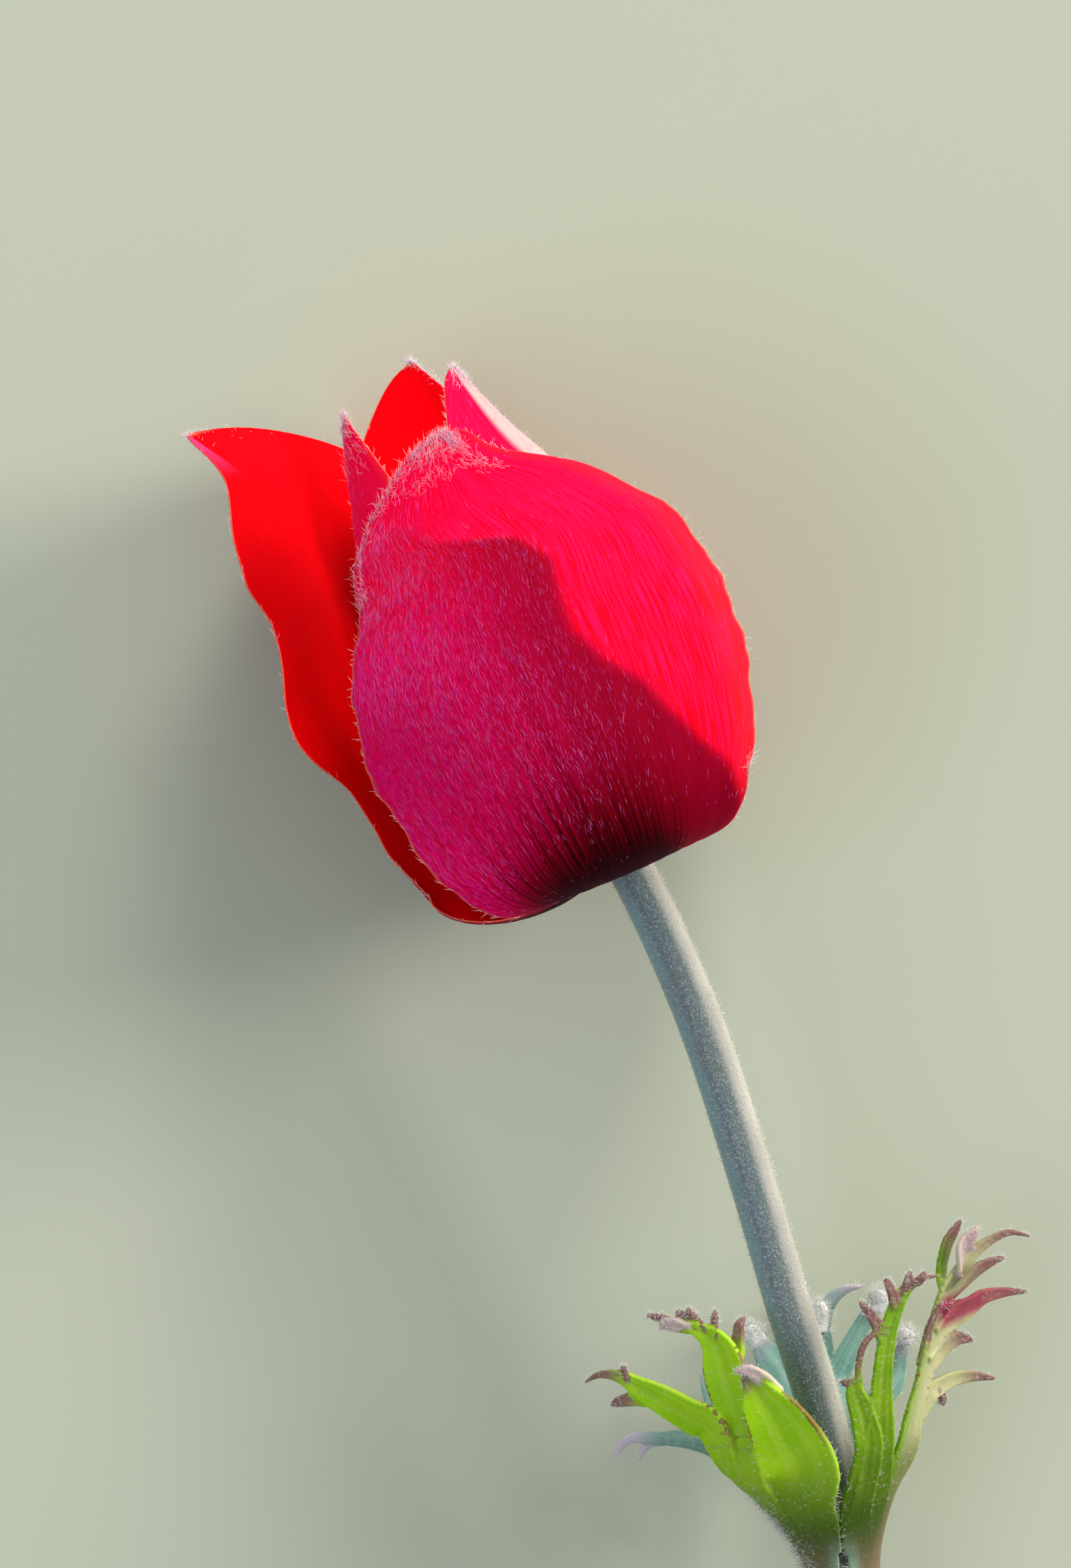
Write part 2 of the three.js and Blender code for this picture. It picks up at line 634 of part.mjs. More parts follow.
function stamenGeometry(index) {
  const turn = 2 * Math.PI * index / STAMENS;
  const row = index % 3;
  const lean = THREE.MathUtils.degToRad([62, 47, 32][row]);
  const length = [6.6, 6.2, 5.4][row] + 0.5 * Math.sin(2.4 * index);
  const start = [2.25, 2.5, 2.7][row];
  const sizes = [[0, 0.2], [0.45, 0.17], [0.78, 0.17], [0.86, 0.42], [0.96, 0.4], [1, 0.12]];
  const points = sizes.map(([share]) => {
    const out = start + share * length * Math.cos(lean);
    const up = COLLAR_BOTTOM + 0.35 + share * length * Math.sin(lean);
    return inBloom(out * Math.sin(turn), up, out * Math.cos(turn));
  });
  return rodGeometry(points, sizes.map(([, radius]) => radius), 4);
}

function stamensGeometry() {
  const geometries = [collarGeometry()];
  for (let i = 0; i < STAMENS; i += 1) {
    geometries.push(stamenGeometry(i));
  }
  return joined(geometries);
}

function node(name, geometry, color, roughness) {
  const material = new THREE.MeshStandardMaterial({ color, roughness, metalness: 0 });
  const mesh = new THREE.Mesh(geometry, material);
  mesh.name = name;
  return mesh;
}

const flower = new THREE.Group();
flower.add(node('stem', stemGeometry(), COLORS.stem, 0.7));
for (const [name, tepal] of Object.entries(TEPALS)) {
  flower.add(node(name, tepalGeometry(tepal), tepal.color, 0.55));
}
for (const [name, bract] of Object.entries(BRACTS)) {
  flower.add(node(name, bractGeometry(bract), COLORS.bract, 0.6));
}
flower.add(node('carpel_head', carpelHeadGeometry(), COLORS.head, 0.8));
flower.add(node('stamens', stamensGeometry(), COLORS.stamens, 0.75));
flower.position.copy(ATTACHMENT);

export default flower;
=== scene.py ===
# %% [markdown]
# # A crown anemone, half open, picked and laid down
# The flower is a bloom of six hairy tepals round a dark centre, on a downy stalk that carries a whorl of
# three finely cut bracts. It could be sculpted by hand, but a tepal and a leaf lobe are both blades along a
# midrib, so one rule with a few widths along that midrib builds all of them, and each stays where the fixed
# frame has it. The frame is loaded first and never changed.

# %% Load the fixed frame
import math

import bpy
import numpy as np
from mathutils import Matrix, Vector
from mathutils.kdtree import KDTree


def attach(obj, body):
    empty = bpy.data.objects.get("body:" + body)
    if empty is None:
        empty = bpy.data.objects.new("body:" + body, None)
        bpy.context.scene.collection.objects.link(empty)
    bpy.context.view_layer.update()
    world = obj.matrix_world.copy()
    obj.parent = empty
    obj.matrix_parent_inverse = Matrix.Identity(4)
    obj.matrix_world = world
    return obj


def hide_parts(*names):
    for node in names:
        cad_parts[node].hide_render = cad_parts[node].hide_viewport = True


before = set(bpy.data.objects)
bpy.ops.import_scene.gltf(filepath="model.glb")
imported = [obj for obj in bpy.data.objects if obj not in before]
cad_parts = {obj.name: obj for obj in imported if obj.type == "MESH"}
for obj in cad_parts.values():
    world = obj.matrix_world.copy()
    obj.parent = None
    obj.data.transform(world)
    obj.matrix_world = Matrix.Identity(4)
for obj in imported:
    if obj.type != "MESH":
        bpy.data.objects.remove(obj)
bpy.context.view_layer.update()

print("frame nodes:", sorted(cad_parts))

# %% [markdown]
# ## Sizes that everything hangs on
# Lengths are in millimetres, as a botanist would measure them, and are turned into metres once, where a mesh
# is made. Points are counted from the place where the stem meets the bloom.

# %% Named sizes
MM = 0.001
AXIS_HEIGHT = 16.0
ATTACHMENT = np.array((1.36, 34.29, AXIS_HEIGHT))
BLOOM_LEAN = math.radians(24)
PETAL_THICKNESS = 0.3
LEAF_THICKNESS = 0.4
STEM_RADIUS = 1.65
NODE_RADIUS = 2.5


def unit(vectors):
    """The same vectors, each of length one."""
    return vectors / np.maximum(np.linalg.norm(vectors, axis=-1, keepdims=True), 1e-9)


def linear(code):
    """A colour written as sRGB hex, as the linear values that a shader takes."""
    values = [int(code[k:k + 2], 16) / 255 for k in (1, 3, 5)]
    return tuple(v / 12.92 if v <= 0.04045 else ((v + 0.055) / 1.055) ** 2.4 for v in values) + (1.0,)


print("bloom leans", round(math.degrees(BLOOM_LEAN)), "degrees to the left")

# %% [markdown]
# ## Camera
# The flower lies on a surface and the camera looks straight down on it, so the flower shows as it does when
# it is seen from the side on its stalk. The photograph shows about 110 mm of it from top to bottom. A long
# lens from 450 mm away keeps the near and far tepals almost the same size, as a macro lens does.

# %% Camera
VIEW_HEIGHT = 110.45
VIEW_DISTANCE = 450.0
VIEW_CENTER = (-5.12, 39.74)
FILM_HEIGHT = 36.0

camera_data = bpy.data.cameras.new("camera")
camera_data.sensor_fit = "VERTICAL"
camera_data.sensor_height = FILM_HEIGHT
camera_data.lens = FILM_HEIGHT * VIEW_DISTANCE / VIEW_HEIGHT
camera_data.clip_start = 0.01
camera = bpy.data.objects.new("camera", camera_data)
camera.location = (VIEW_CENTER[0] * MM, VIEW_CENTER[1] * MM, (VIEW_DISTANCE + AXIS_HEIGHT) * MM)
bpy.context.scene.collection.objects.link(camera)
bpy.context.scene.camera = camera
print("lens", round(camera_data.lens, 1), "mm")

# %% [markdown]
# ## Light
# Four soft lamps light the flower. The key lamp stands low at the upper right, so it rakes over the bloom,
# lights the right flank and leaves the left flank in soft shade. The rim lamp beyond the tip brightens the
# ends of the tepals and their wool, and two weak lamps fill the shade. Standard view transform keeps the red
# as pure as a red petal looks in sunlight.

# %% Light
SKY_STRENGTH = 0.38

scene = bpy.context.scene
scene.view_settings.view_transform = "Standard"
scene.view_settings.look = "None"

world = bpy.data.worlds.new("studio")
world.use_nodes = True
world.node_tree.nodes["Background"].inputs["Color"].default_value = linear("#eef2f6")
world.node_tree.nodes["Background"].inputs["Strength"].default_value = SKY_STRENGTH
scene.world = world


def soft_lamp(name, towards, distance, size, power, color):
    """Square lamp in the direction given, as seen from the bloom, and turned to face it."""
    data = bpy.data.lights.new(name, "AREA")
    data.shape = "SQUARE"
    data.size = size
    data.energy = power
    data.color = linear(color)[:3]
    lamp = bpy.data.objects.new(name, data)
    aim = Vector(towards).normalized()
    bloom_middle = Vector((0, 0.03, AXIS_HEIGHT * MM))
    lamp.location = bloom_middle + aim * distance
    lamp.rotation_euler = aim.to_track_quat("Z", "Y").to_euler()
    scene.collection.objects.link(lamp)
    print(name, "at", [round(v, 2) for v in lamp.location])


soft_lamp("key_lamp", (0.88, 0.36, 0.40), 1.6, 0.72, 24.0, "#fff6ea")
soft_lamp("fill_lamp", (-0.6, -0.3, 0.8), 0.9, 0.6, 2.4, "#e6edff")
soft_lamp("top_lamp", (0.1, 0.3, 1.0), 1.0, 0.7, 1.0, "#ffffff")
soft_lamp("rim_lamp", (0.2, 1.0, 0.42), 1.6, 0.5, 17.0, "#fffaf2")

# %% [markdown]
# ## A small kit for materials
# Every finish below is a node tree. One function adds any node: it sets the node's own settings, gives its
# sockets a number, a colour or a link, and fills a colour ramp.

# %% Adding nodes
def fill(tree, node, sockets):
    """Gives sockets, by name or place, a number, a colour in sRGB hex or a link from another socket."""
    for place, value in (sockets.items() if isinstance(sockets, dict) else enumerate(sockets)):
        if isinstance(value, bpy.types.NodeSocket):
            tree.links.new(value, node.inputs[place])
        else:
            node.inputs[place].default_value = linear(value) if isinstance(value, str) else value


def add(tree, kind, sockets=(), stops=(), **settings):
    """Adds a node with its sockets and settings, and a colour ramp's stops of place and sRGB hex."""
    node = tree.nodes.new(kind)
    for name, value in settings.items():
        setattr(node, name, value)
    fill(tree, node, sockets)
    if stops:
        elements = node.color_ramp.elements
        while len(elements) < len(stops):
            elements.new(0.5)
        for element, (position, code) in zip(elements, stops):
            element.position = position
            element.color = linear(code)
    return node


def new_material(name):
    """An empty finish, with its node tree and its shader."""
    material = bpy.data.materials.new(name)
    material.use_nodes = True
    return material, material.node_tree, material.node_tree.nodes["Principled BSDF"]


print("white in a shader's linear values:", linear("#ffffff"))

# %% Masks and coats
def mask(tree, *steps):
    """Product of soft steps. A step is a value, the two places it goes between, and its level at each."""
    share = None
    for step in steps:
        level = add(tree, "ShaderNodeMapRange", step, interpolation_type="SMOOTHSTEP").outputs["Result"]
        if share is None:
            share = level
        else:
            share = add(tree, "ShaderNodeMath", (share, level), operation="MULTIPLY").outputs["Value"]
    return share


def coats(tree, ground, layers):
    """Lays coats over a ground colour. A coat is a colour and its share, a socket or a mask's steps."""
    for color, *steps in layers:
        share = mask(tree, *steps) if isinstance(steps[0], tuple) else steps[0]
        ground = add(tree, "ShaderNodeMix", {0: share, 6: ground, 7: color}, data_type="RGBA").outputs[2]
    return ground


print("a coat is laid where all the steps of its mask are high")

# %% [markdown]
# ## Patterns with a real size
# Veins and silk run along a blade, so their noise is drawn in the blade's own map, which the mesh carries: a
# point's place across it from -1 to 1 and along it from 0 to 1. Grain and down have no direction, so their
# noise fills the space. Both take the real size of what they draw, in millimetres.

# %% Patterns
def mesh_values(tree, name):
    """The three values that the mesh stores at each point under a name."""
    stored = add(tree, "ShaderNodeAttribute", attribute_name=name).outputs["Vector"]
    parts = add(tree, "ShaderNodeSeparateXYZ", (stored,))
    return parts.outputs["X"], parts.outputs["Y"], parts.outputs["Z"]


def streaks(tree, blade_size, streak_size, detail, seed):
    """Noise drawn out along a blade of a half width and a length, in streaks of a width and a length."""
    place = add(tree, "ShaderNodeAttribute", attribute_name="place").outputs["Vector"]
    scale = (blade_size[0] / streak_size[0], blade_size[1] / streak_size[1], 1.0)
    mapping = add(tree, "ShaderNodeMapping",
                  {"Vector": place, "Scale": scale, "Location": (seed, seed * 0.7, seed)})
    noise = add(tree, "ShaderNodeTexNoise",
                {"Vector": mapping.outputs["Vector"], "Scale": 1.0, "Detail": detail, "Roughness": 0.6})
    return noise.outputs["Fac"]


def specks(tree, size, detail):
    """Noise through space, with specks of a size in millimetres."""
    spot = add(tree, "ShaderNodeTexCoord").outputs["Object"]
    noise = add(tree, "ShaderNodeTexNoise", {"Vector": spot, "Scale": 1 / (size * MM), "Detail": detail})
    return noise.outputs["Fac"]


print("specks of 0.5 mm have a scale of", round(1 / (0.5 * MM)))

# %% [markdown]
# ## Floor
# A plain pale floor of matt card lies under the flower. It catches the shadow, and sends light back up
# through the thin tepals.

# %% Floor
FLOOR_SIZE = 6

bpy.ops.mesh.primitive_plane_add(size=FLOOR_SIZE, location=(0, 0, 0))
floor = bpy.context.object
floor.name = "floor"

# Uncoated card: matt, with no shine that could compete with the bloom
floor_card, tree, shader = new_material("matt_card")
fill(tree, shader, {"Base Color": "#b6bda9", "Roughness": 0.9})
floor.data.materials.append(floor_card)
print("floor of", floor_card.name)

# %% [markdown]
# ## The blade rule
# A blade grows along a midrib that is given as its distance from the bloom's axis and its height. At each
# station it has a half width to the left and to the right, a curvature across, and a small wave near the
# margin. Smooth curves run through the stations, so a few numbers give a whole tepal. A subdivided cage
# could be pulled into shape too, but numbers measured on the flower are easier to correct than a cage.

# %% Blade rule
MARGIN_WAVES = 19
BLOOM = dict(
    origin=np.zeros(3),
    right=np.array((math.cos(BLOOM_LEAN), math.sin(BLOOM_LEAN), 0)),
    axis=np.array((-math.sin(BLOOM_LEAN), math.cos(BLOOM_LEAN), 0)),
    front=np.array((0.0, 0.0, 1.0)),
)


def through(values, s):
    """Smooth curve through evenly spaced values, at s from 0 to 1."""
    values = np.asarray(values, float)
    spans = len(values) - 1
    x = np.clip(s, 0, 1) * spans
    i = np.minimum(np.floor(x).astype(int), spans - 1)
    t = x - i
    if values.ndim > 1:
        t = t[..., None]
    p0, p1 = values[np.maximum(i - 1, 0)], values[i]
    p2, p3 = values[i + 1], values[np.minimum(i + 2, spans)]
    a = (p2 - p0) / 2
    b = (p3 - p1) / 2
    return (2 * p1 - 2 * p2 + a + b) * t ** 3 + (3 * p2 - 3 * p1 - 2 * a - b) * t ** 2 + a * t + p1


def blade_half(blade, s, q):
    """Half width of the blade at s, to the left or to the right, rounded off towards its tip."""
    tip = np.maximum((1 - np.clip(s, 0, 1) ** blade["tip"]) ** 0.65, 0.08)
    return np.where(q < 0, through(blade["left"], s), through(blade["right"], s)) * tip


def blade_point(blade, place, s, q):
    """Middle of the blade, s along it and q across it from -1 to 1."""
    s, q = np.broadcast_arrays(np.asarray(s, float), np.asarray(q, float))
    rib = through(blade["rib"], s)
    step = unit(through(blade["rib"], s + 0.002) - through(blade["rib"], s - 0.002))
    x = q * blade_half(blade, s, q)
    edge = np.abs(q) ** 3 * np.sin(np.pi * s)
    lift = through(blade["bend"], s) * x * x / 2 + blade["wave"] * edge * np.sin(MARGIN_WAVES * s + 2 * q)
    across = x + through(blade["skew"], s)
    r = rib[..., 0] - lift * step[..., 1]
    h = rib[..., 1] + lift * step[..., 0]
    azimuth = math.radians(blade["azimuth"])
    return (place["origin"]
            + place["right"] * (r * math.sin(azimuth) + across * math.cos(azimuth))[..., None]
            + place["axis"] * h[..., None]
            + place["front"] * (r * math.cos(azimuth) - across * math.sin(azimuth))[..., None])


print("a smooth curve through 0, 1 and 4 passes", float(through((0, 1, 4), 0.25)), "a quarter of the way")

# %% Closed sheets
def rested(points, clearance):
    """Presses flat on the surface what would hang below it."""
    points = points.copy()
    points[..., 2] = np.maximum(points[..., 2], clearance - AXIS_HEIGHT)
    return points


def sheet(grid, thickness):
    """Closed blade round a grid of middle points, with a thickness at each. Outer side first."""
    along = np.gradient(grid, axis=0)
    across = np.gradient(grid, axis=1)
    normal = unit(np.cross(across, along))
    rows, columns = grid.shape[:2]
    half = normal * thickness[..., None] / 2
    points = np.concatenate([(grid + half).reshape(-1, 3), (grid - half).reshape(-1, 3)])
    at = np.arange(rows * columns).reshape(rows, columns)
    a, b, c, d = at[:-1, :-1], at[:-1, 1:], at[1:, 1:], at[1:, :-1]
    quads = [np.stack([a, b, c, d], -1).reshape(-1, 4)]
    under = rows * columns
    quads.append(np.stack([a, d, c, b], -1).reshape(-1, 4) + under)
    rim = np.concatenate([at[0, :], at[1:, -1], at[-1, -2::-1], at[-2:0:-1, 0]])
    after = np.roll(rim, -1)
    quads.append(np.stack([rim, rim + under, after + under, after], -1))
    return points, np.concatenate(quads)


print("a point 30 mm under the bloom rests at", rested(np.array((0, 0, -30.0)), 0)[2], "mm")

# %% [markdown]
# ## Turning points into pieces
# One function makes a mesh object of points and faces, smooths it, hangs it on the flower's one body, and
# hides the node of the frame that it stands for. Values that a material reads, such as a point's place on
# its blade, are stored on the mesh by name.

# %% Piece maker
def make_piece(name, points, faces, materials, node=None, values=None, face_materials=None):
    """Mesh object on the flower's body. Points count from the bloom's base, in millimetres."""
    mesh = bpy.data.meshes.new(name)
    mesh.from_pydata(((points + ATTACHMENT) * MM).tolist(), [], [list(map(int, f)) for f in faces])
    for material in materials:
        mesh.materials.append(material)
    if face_materials is not None:
        mesh.polygons.foreach_set("material_index", face_materials.astype(np.int32))
    mesh.polygons.foreach_set("use_smooth", np.ones(len(mesh.polygons), bool))
    for key, array in (values or {}).items():
        attribute = mesh.attributes.new(key, "FLOAT_VECTOR", "POINT")
        attribute.data.foreach_set("vector", np.ascontiguousarray(array, np.float32).ravel())
    mesh.update()
    piece = bpy.data.objects.new(name, mesh)
    scene.collection.objects.link(piece)
    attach(piece, "root")
    if node:
        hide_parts(node)
    triangles = sum(len(p.vertices) - 2 for p in mesh.polygons)
    print(f"{name}: {triangles} triangles")


print("pieces ride on the body root")

# %% [markdown]
# ## Tepals
# An anemone has no green sepals, only tepals that do both jobs. Each is thin, smooth and scarlet inside, and
# crimson under silky hairs outside, with veins that fan out from a maroon-black claw at its base. The widths
# below were measured on the photograph, as real millimetres.

# %% Tepal measurements
TEPALS = {
    "tepal_front": dict(
        azimuth=0, wave=0.35, tip=20,
        rib=((2.05, 0.4), (7.6, -0.5), (12.4, 1.8), (14.6, 7.2), (15, 12.8), (14.2, 18.2),
             (12.5, 23.2), (10.3, 27.4), (9.2, 32.5)),
        left=(1.6, 4.8, 8.4, 10.7, 12.1, 12.8, 13.4, 13.8, 13.9, 13.8, 13.1, 12.9, 12.1, 9.9, 8.5, 5.8,
              3.2),
        right=(1.6, 3.9, 6.6, 8.9, 10.3, 11.8, 12.8, 13.3, 13.7, 14, 13.8, 13.2, 12.3, 11.8, 9.9, 4.4,
               4),
        bend=(0.02, 0.006, 0.03, 0.06, 0.07, 0.075, 0.075, 0.07, 0.06),
        skew=(0, 0, 0, 0, 0, 0, 0.6, -0.8, -0.1),
    ),
    "tepal_left": dict(
        azimuth=-122, wave=0.5, tip=22,
        rib=((2.05, 0.4), (6.8, -0.8), (11.8, 0.4), (14.5, 6), (15.3, 12.4), (15.1, 19), (14.6, 25.8),
             (14.2, 32.6), (14.5, 40.2)),
        left=(1.6, 3.5, 5.8, 7.8, 9.6, 10.8, 11.6, 12.1, 12.4, 12.4, 12.2, 11.8, 11.6, 12.6, 12.8,
              12.7, 11.2),
        right=(1.6, 3.2, 5.2, 8, 10.8, 9.6, 8.4, 5.6, 6.4, 11.2, 11, 9.2, 8, 10.3, 9.5, 3.2, 1.4),
        bend=(0.02, 0.04, 0.06, 0.06, 0.045, 0.01, 0.02, 0.01, 0),
        skew=(0, 0, 0, 0, 0, 0, 0, -1, 7.2),
    ),
    "tepal_right": dict(
        azimuth=158, wave=0.3, tip=11,
        rib=((2.05, 0.4), (6.6, 0), (11.6, 1.8), (14.6, 6), (16, 11.4), (16.1, 16.6), (15.2, 21),
             (13.9, 24.6), (13, 27)),
        left=(1.6, 4.8, 7, 8.2, 8.6, 8.2, 7, 5.2, 2.6),
        right=(1.3, 4.2, 5, 5.1, 5.1, 5, 4.8, 4.2, 2.6),
        bend=(0.02, 0.03, 0.05, 0.06, 0.06, 0.06, 0.06, 0.06, 0.06),
        skew=(0, 0),
    ),
    "tepal_inner_left": dict(
        azimuth=-60, wave=0.2, tip=11,
        rib=((2.05, 1.5), (6, 1.4), (9.6, 3.6), (11, 8.8), (11.1, 14.8), (10.3, 20.8), (8.9, 26.6),
             (7.5, 32), (6.3, 36.6)),
        left=(1.4, 4.2, 6.8, 8.4, 8.6, 7.4, 5, 2.8, 0.9),
        right=(1.4, 4.2, 6.8, 8.4, 8.6, 7.4, 5.4, 3.4, 0.9),
        bend=(0.02, 0.04, 0.07, 0.08, 0.09, 0.1, 0.12, 0.2, 0.3),
        skew=(0, 0),
    ),
    "tepal_inner_right": dict(
        azimuth=60, wave=0.2, tip=11,
        rib=((2.05, 1.5), (6, 1.4), (9.6, 3.6), (10.9, 8.8), (10.8, 14.6), (9.5, 20.4), (7.3, 26),
             (5, 31.4), (3.3, 36.7)),
        left=(1.4, 4.4, 7, 8.2, 8.6, 7.8, 6.8, 6.2, 4.4),
        right=(1.4, 4.2, 6.6, 7.8, 8, 6.6, 4, 1.9, 0.9),
        bend=(0.02, 0.04, 0.07, 0.08, 0.09, 0.1, 0.11, 0.12, 0.12),
        skew=(0, 0),
    ),
    "tepal_back": dict(
        azimuth=180, wave=0.3, tip=11,
        rib=((2.05, 1.5), (6.2, 1.4), (9.6, 3.6), (11, 8.8), (11.2, 14.8), (11, 21), (10.4, 27.2),
             (9.4, 33), (8.2, 38.8)),
        left=(1.4, 5, 8, 9.4, 9.4, 8.6, 6.5, 3.6, 1),
        right=(1.4, 5, 8.6, 10.2, 10.6, 10.2, 9.4, 8.9, 5),
        bend=(0.02, 0.03, 0.06, 0.06, 0.06, 0.06, 0.06, 0.06, 0.06),
        skew=(0, -0.2, -0.5, -0.8, -1, -1, -1, -0.7, -0.4),
    ),
}

print("tepals:", ", ".join(TEPALS))

# %% [markdown]
# ## Where light comes through
# A thin tepal that stands free lets the light through and glows a clear red. Where other tepals lie behind
# it, it stays a cool, dark crimson, and the line between the two is soft. Both are painted into the colour:
# the clear red is painted light and the dark crimson is painted shade. The line is given for each tepal as
# places along it and the place across it where the painted glow begins. Lamps could draw that line too, but
# it would move with every small change of a tepal, so the share of painted glow is stored on the mesh and
# the finish reads it.

# %% Painted glow of the free parts
# Painted light beyond these lines across each tepal, painted shade before them
PAINTED_GLOW_LINES = {
    "tepal_front": ((0.16, 1.05), (0.22, 0.93), (0.28, 0.82), (0.34, 0.64), (0.4, 0.53), (0.46, 0.45),
                    (0.52, 0.3), (0.58, 0.22), (0.7, 0.25), (0.76, 0.12), (0.82, -0.28), (0.88, -0.5),
                    (0.93, -1.3)),
    "tepal_inner_left": ((0.45, 1.4), (0.55, 0.2), (0.65, -1.4)),
    "tepal_inner_right": ((0.4, 1.2), (0.5, -0.6), (0.6, -1.3)),
    "tepal_right": ((0.5, 1.4), (0.7, 0.0), (0.85, -1.4)),
    "tepal_left": ((0.9, 1.4), (0.94, -1.4)),
    "tepal_back": ((0.5, 1.3), (0.62, 0.2), (0.72, -1.4)),
}
LINE_SOFTNESS = 0.12


def painted_glow_of(name, s, q):
    """Share of painted glow, 0 in the painted shade of other tepals and 1 where the tepal stands free."""
    places, starts = zip(*PAINTED_GLOW_LINES[name])
    soft = np.clip((q - np.interp(s, places, starts)) / LINE_SOFTNESS + 0.5, 0, 1)
    return soft * soft * (3 - 2 * soft)


print("glow lines for", len(PAINTED_GLOW_LINES), "tepals")

# %% Pale folds
# The folded edge of a tepal is pale with wool and with a painted highlight where the fold catches the
# light: places along it, and where across it the pale starts there
PALE_FOLDS = {
    "tepal_inner_right": ((0.72, 0.84, 0.97), (0.0, -0.2, -0.24)),
    "tepal_left": ((0.93, 1.0), (0.25, 0.25)),
}


def pale_of(name, s, q):
    """Share of the pale fold, with its wool and its painted highlight."""
    if name not in PALE_FOLDS:
        return np.zeros(s.shape)
    places, starts = PALE_FOLDS[name]
    fold = np.clip((q - np.interp(s, places, starts)) / LINE_SOFTNESS, 0, 1)
    return np.clip((s - places[0]) / 0.05, 0, 1) * fold


print("pale folds on", ", ".join(PALE_FOLDS))

# %% [markdown]
# ## Petal finishes
# Petal tissue is pigment in clear cells: light goes in, scatters and comes out redder, so the shader
# scatters light under the surface and reflects almost nothing off its velvety skin. The outer side has a
# veil of silvery hairs too fine to model one by one, which turns crimson to magenta, partly by the hairs'
# colour and partly by their painted sheen. The inner side is plain scarlet. On both sides light and shade
# are painted into the red, and the thin margins carry a painted orange glow. A photograph of a petal
# could be wrapped on, but it would bring its own light and shade along.

# %% Petal outer side
# Crimson petal tissue under silk: velvety, with no shine, magenta where the silk is thick, partly by the
# silk's colour and partly by its painted sheen. Light and shade are painted in: a pure red where light
# would come through, and elsewhere a shaded crimson, darker towards the right and paler towards the tip.
# Fine veins are 0.3 mm apart. Real silk is too fine to show and is drawn coarser here.
TEPAL_SIZE = (13.8, 46.0)

petal_outer, tree, shader = new_material("petal_outer_side")
across, along, _ = mesh_values(tree, "place")
glow, fold, _ = mesh_values(tree, "tone")
veins = streaks(tree, TEPAL_SIZE, (0.3, 41.8), 2.0, 4.0)
silk = streaks(tree, TEPAL_SIZE, (0.1533, 5.11), 3.0, 9.0)
mottle = streaks(tree, TEPAL_SIZE, (0.1255, 0.657), 2.0, 11.0)

# Painted shade: the crimson of the parts in the shade of other tepals, paler towards the tip
shade = add(tree, "ShaderNodeValToRGB", (along,), stops=(
    (0.3, "#d4021e"), (0.5, "#e40330"), (0.7, "#fa0436"), (0.85, "#ff0532"))).outputs["Color"]
painted_deep_shade = add(tree, "ShaderNodeValToRGB", (along,), stops=(
    (0.3, "#84000e"), (0.5, "#90021c"), (0.7, "#9c0216"), (0.85, "#aa0416"))).outputs["Color"]
shade = coats(tree, shade, (
    # painted shade, darker towards the right of the shaded part
    (painted_deep_shade, (across, -0.75, 0.15, 0.0, 1.0)),
    # magenta on the shaded left, partly the silk's colour and partly its painted sheen
    ("#ea0280", (silk, 0.3, 0.75, 0.2, 1.0), (across, -0.9, 0.35, 1.0, 0.1), (along, 0.66, 0.8, 0.9, 0.2)),
    # dark mottle: painted shade between the silk hairs, in fine specks
    ("#960018", (mottle, 0.36, 0.5, 0.45, 0.0)),
))
# Painted light: the pure red of the parts that would let light through, orange-red at the right margin
lit = add(tree, "ShaderNodeValToRGB", (along,), stops=(
    (0.45, "#ff001a"), (0.92, "#ff0036"))).outputs["Color"]
lit = coats(tree, lit, (
    ("#ff1668", (silk, 0.42, 0.62, 0.0, 0.6)),
    ("#ff2c28", (across, 0.75, 1.0, 0.0, 0.45)),
))

# The dark claw reaches highest at the middle of the blade and runs out in streaks between the veins
aside = add(tree, "ShaderNodeMath", (across, 0.05), operation="ADD").outputs["Value"]
bow = add(tree, "ShaderNodeMath", (aside, aside), operation="MULTIPLY").outputs["Value"]
claw = add(tree, "ShaderNodeMath", (bow, 0.3, along), operation="MULTIPLY_ADD").outputs["Value"]
for shift in ((across, 0.2, 0.7, 0.0, 0.07), (veins, 0.3, 0.62, -0.07, 0.0)):
    claw = add(tree, "ShaderNodeMath", (claw, mask(tree, shift)), operation="ADD").outputs["Value"]

margin = add(tree, "ShaderNodeMath", (across,), operation="ABSOLUTE").outputs["Value"]
pigment = coats(tree, shade, (
    # the painted glow share lays the painted light over the painted shade
    (lit, glow),
    ("#8e0016", (veins, 0.3, 0.5, 0.26, 0.0), (along, 0.3, 0.8, 1.0, 0.25)),
    ("#74000c", (claw, 0.24, 0.43, 0.95, 0.0)),
    ("#240005", (claw, 0.19, 0.33, 1.0, 0.0)),
    # pale fold: wool and a painted highlight
    ("#f0a8a8", fold),
    # orange margin and tip: painted glow of light through the thin edge
    ("#ff6a50", (margin, 0.985, 1.0, 0.0, 1.0)),
    ("#ff6a50", (along, 0.99, 1.0, 0.0, 1.0)),
))
relief = add(tree, "ShaderNodeBump", {"Height": silk, "Distance": 0.05 * MM, "Strength": 0.3})
fill(tree, shader, {
    "Base Color": pigment, "Normal": relief.outputs["Normal"], "Roughness": 0.65, "IOR": 1.4,
    "Specular IOR Level": 0.03, "Sheen Weight": 0.02, "Sheen Roughness": 0.4, "Sheen Tint": "#ff7cc0",
    "Subsurface Weight": 0.8, "Subsurface Radius": (1.0, 0.05, 0.12), "Subsurface Scale": 0.6 * MM,
})
print("outer side finish:", petal_outer.name)

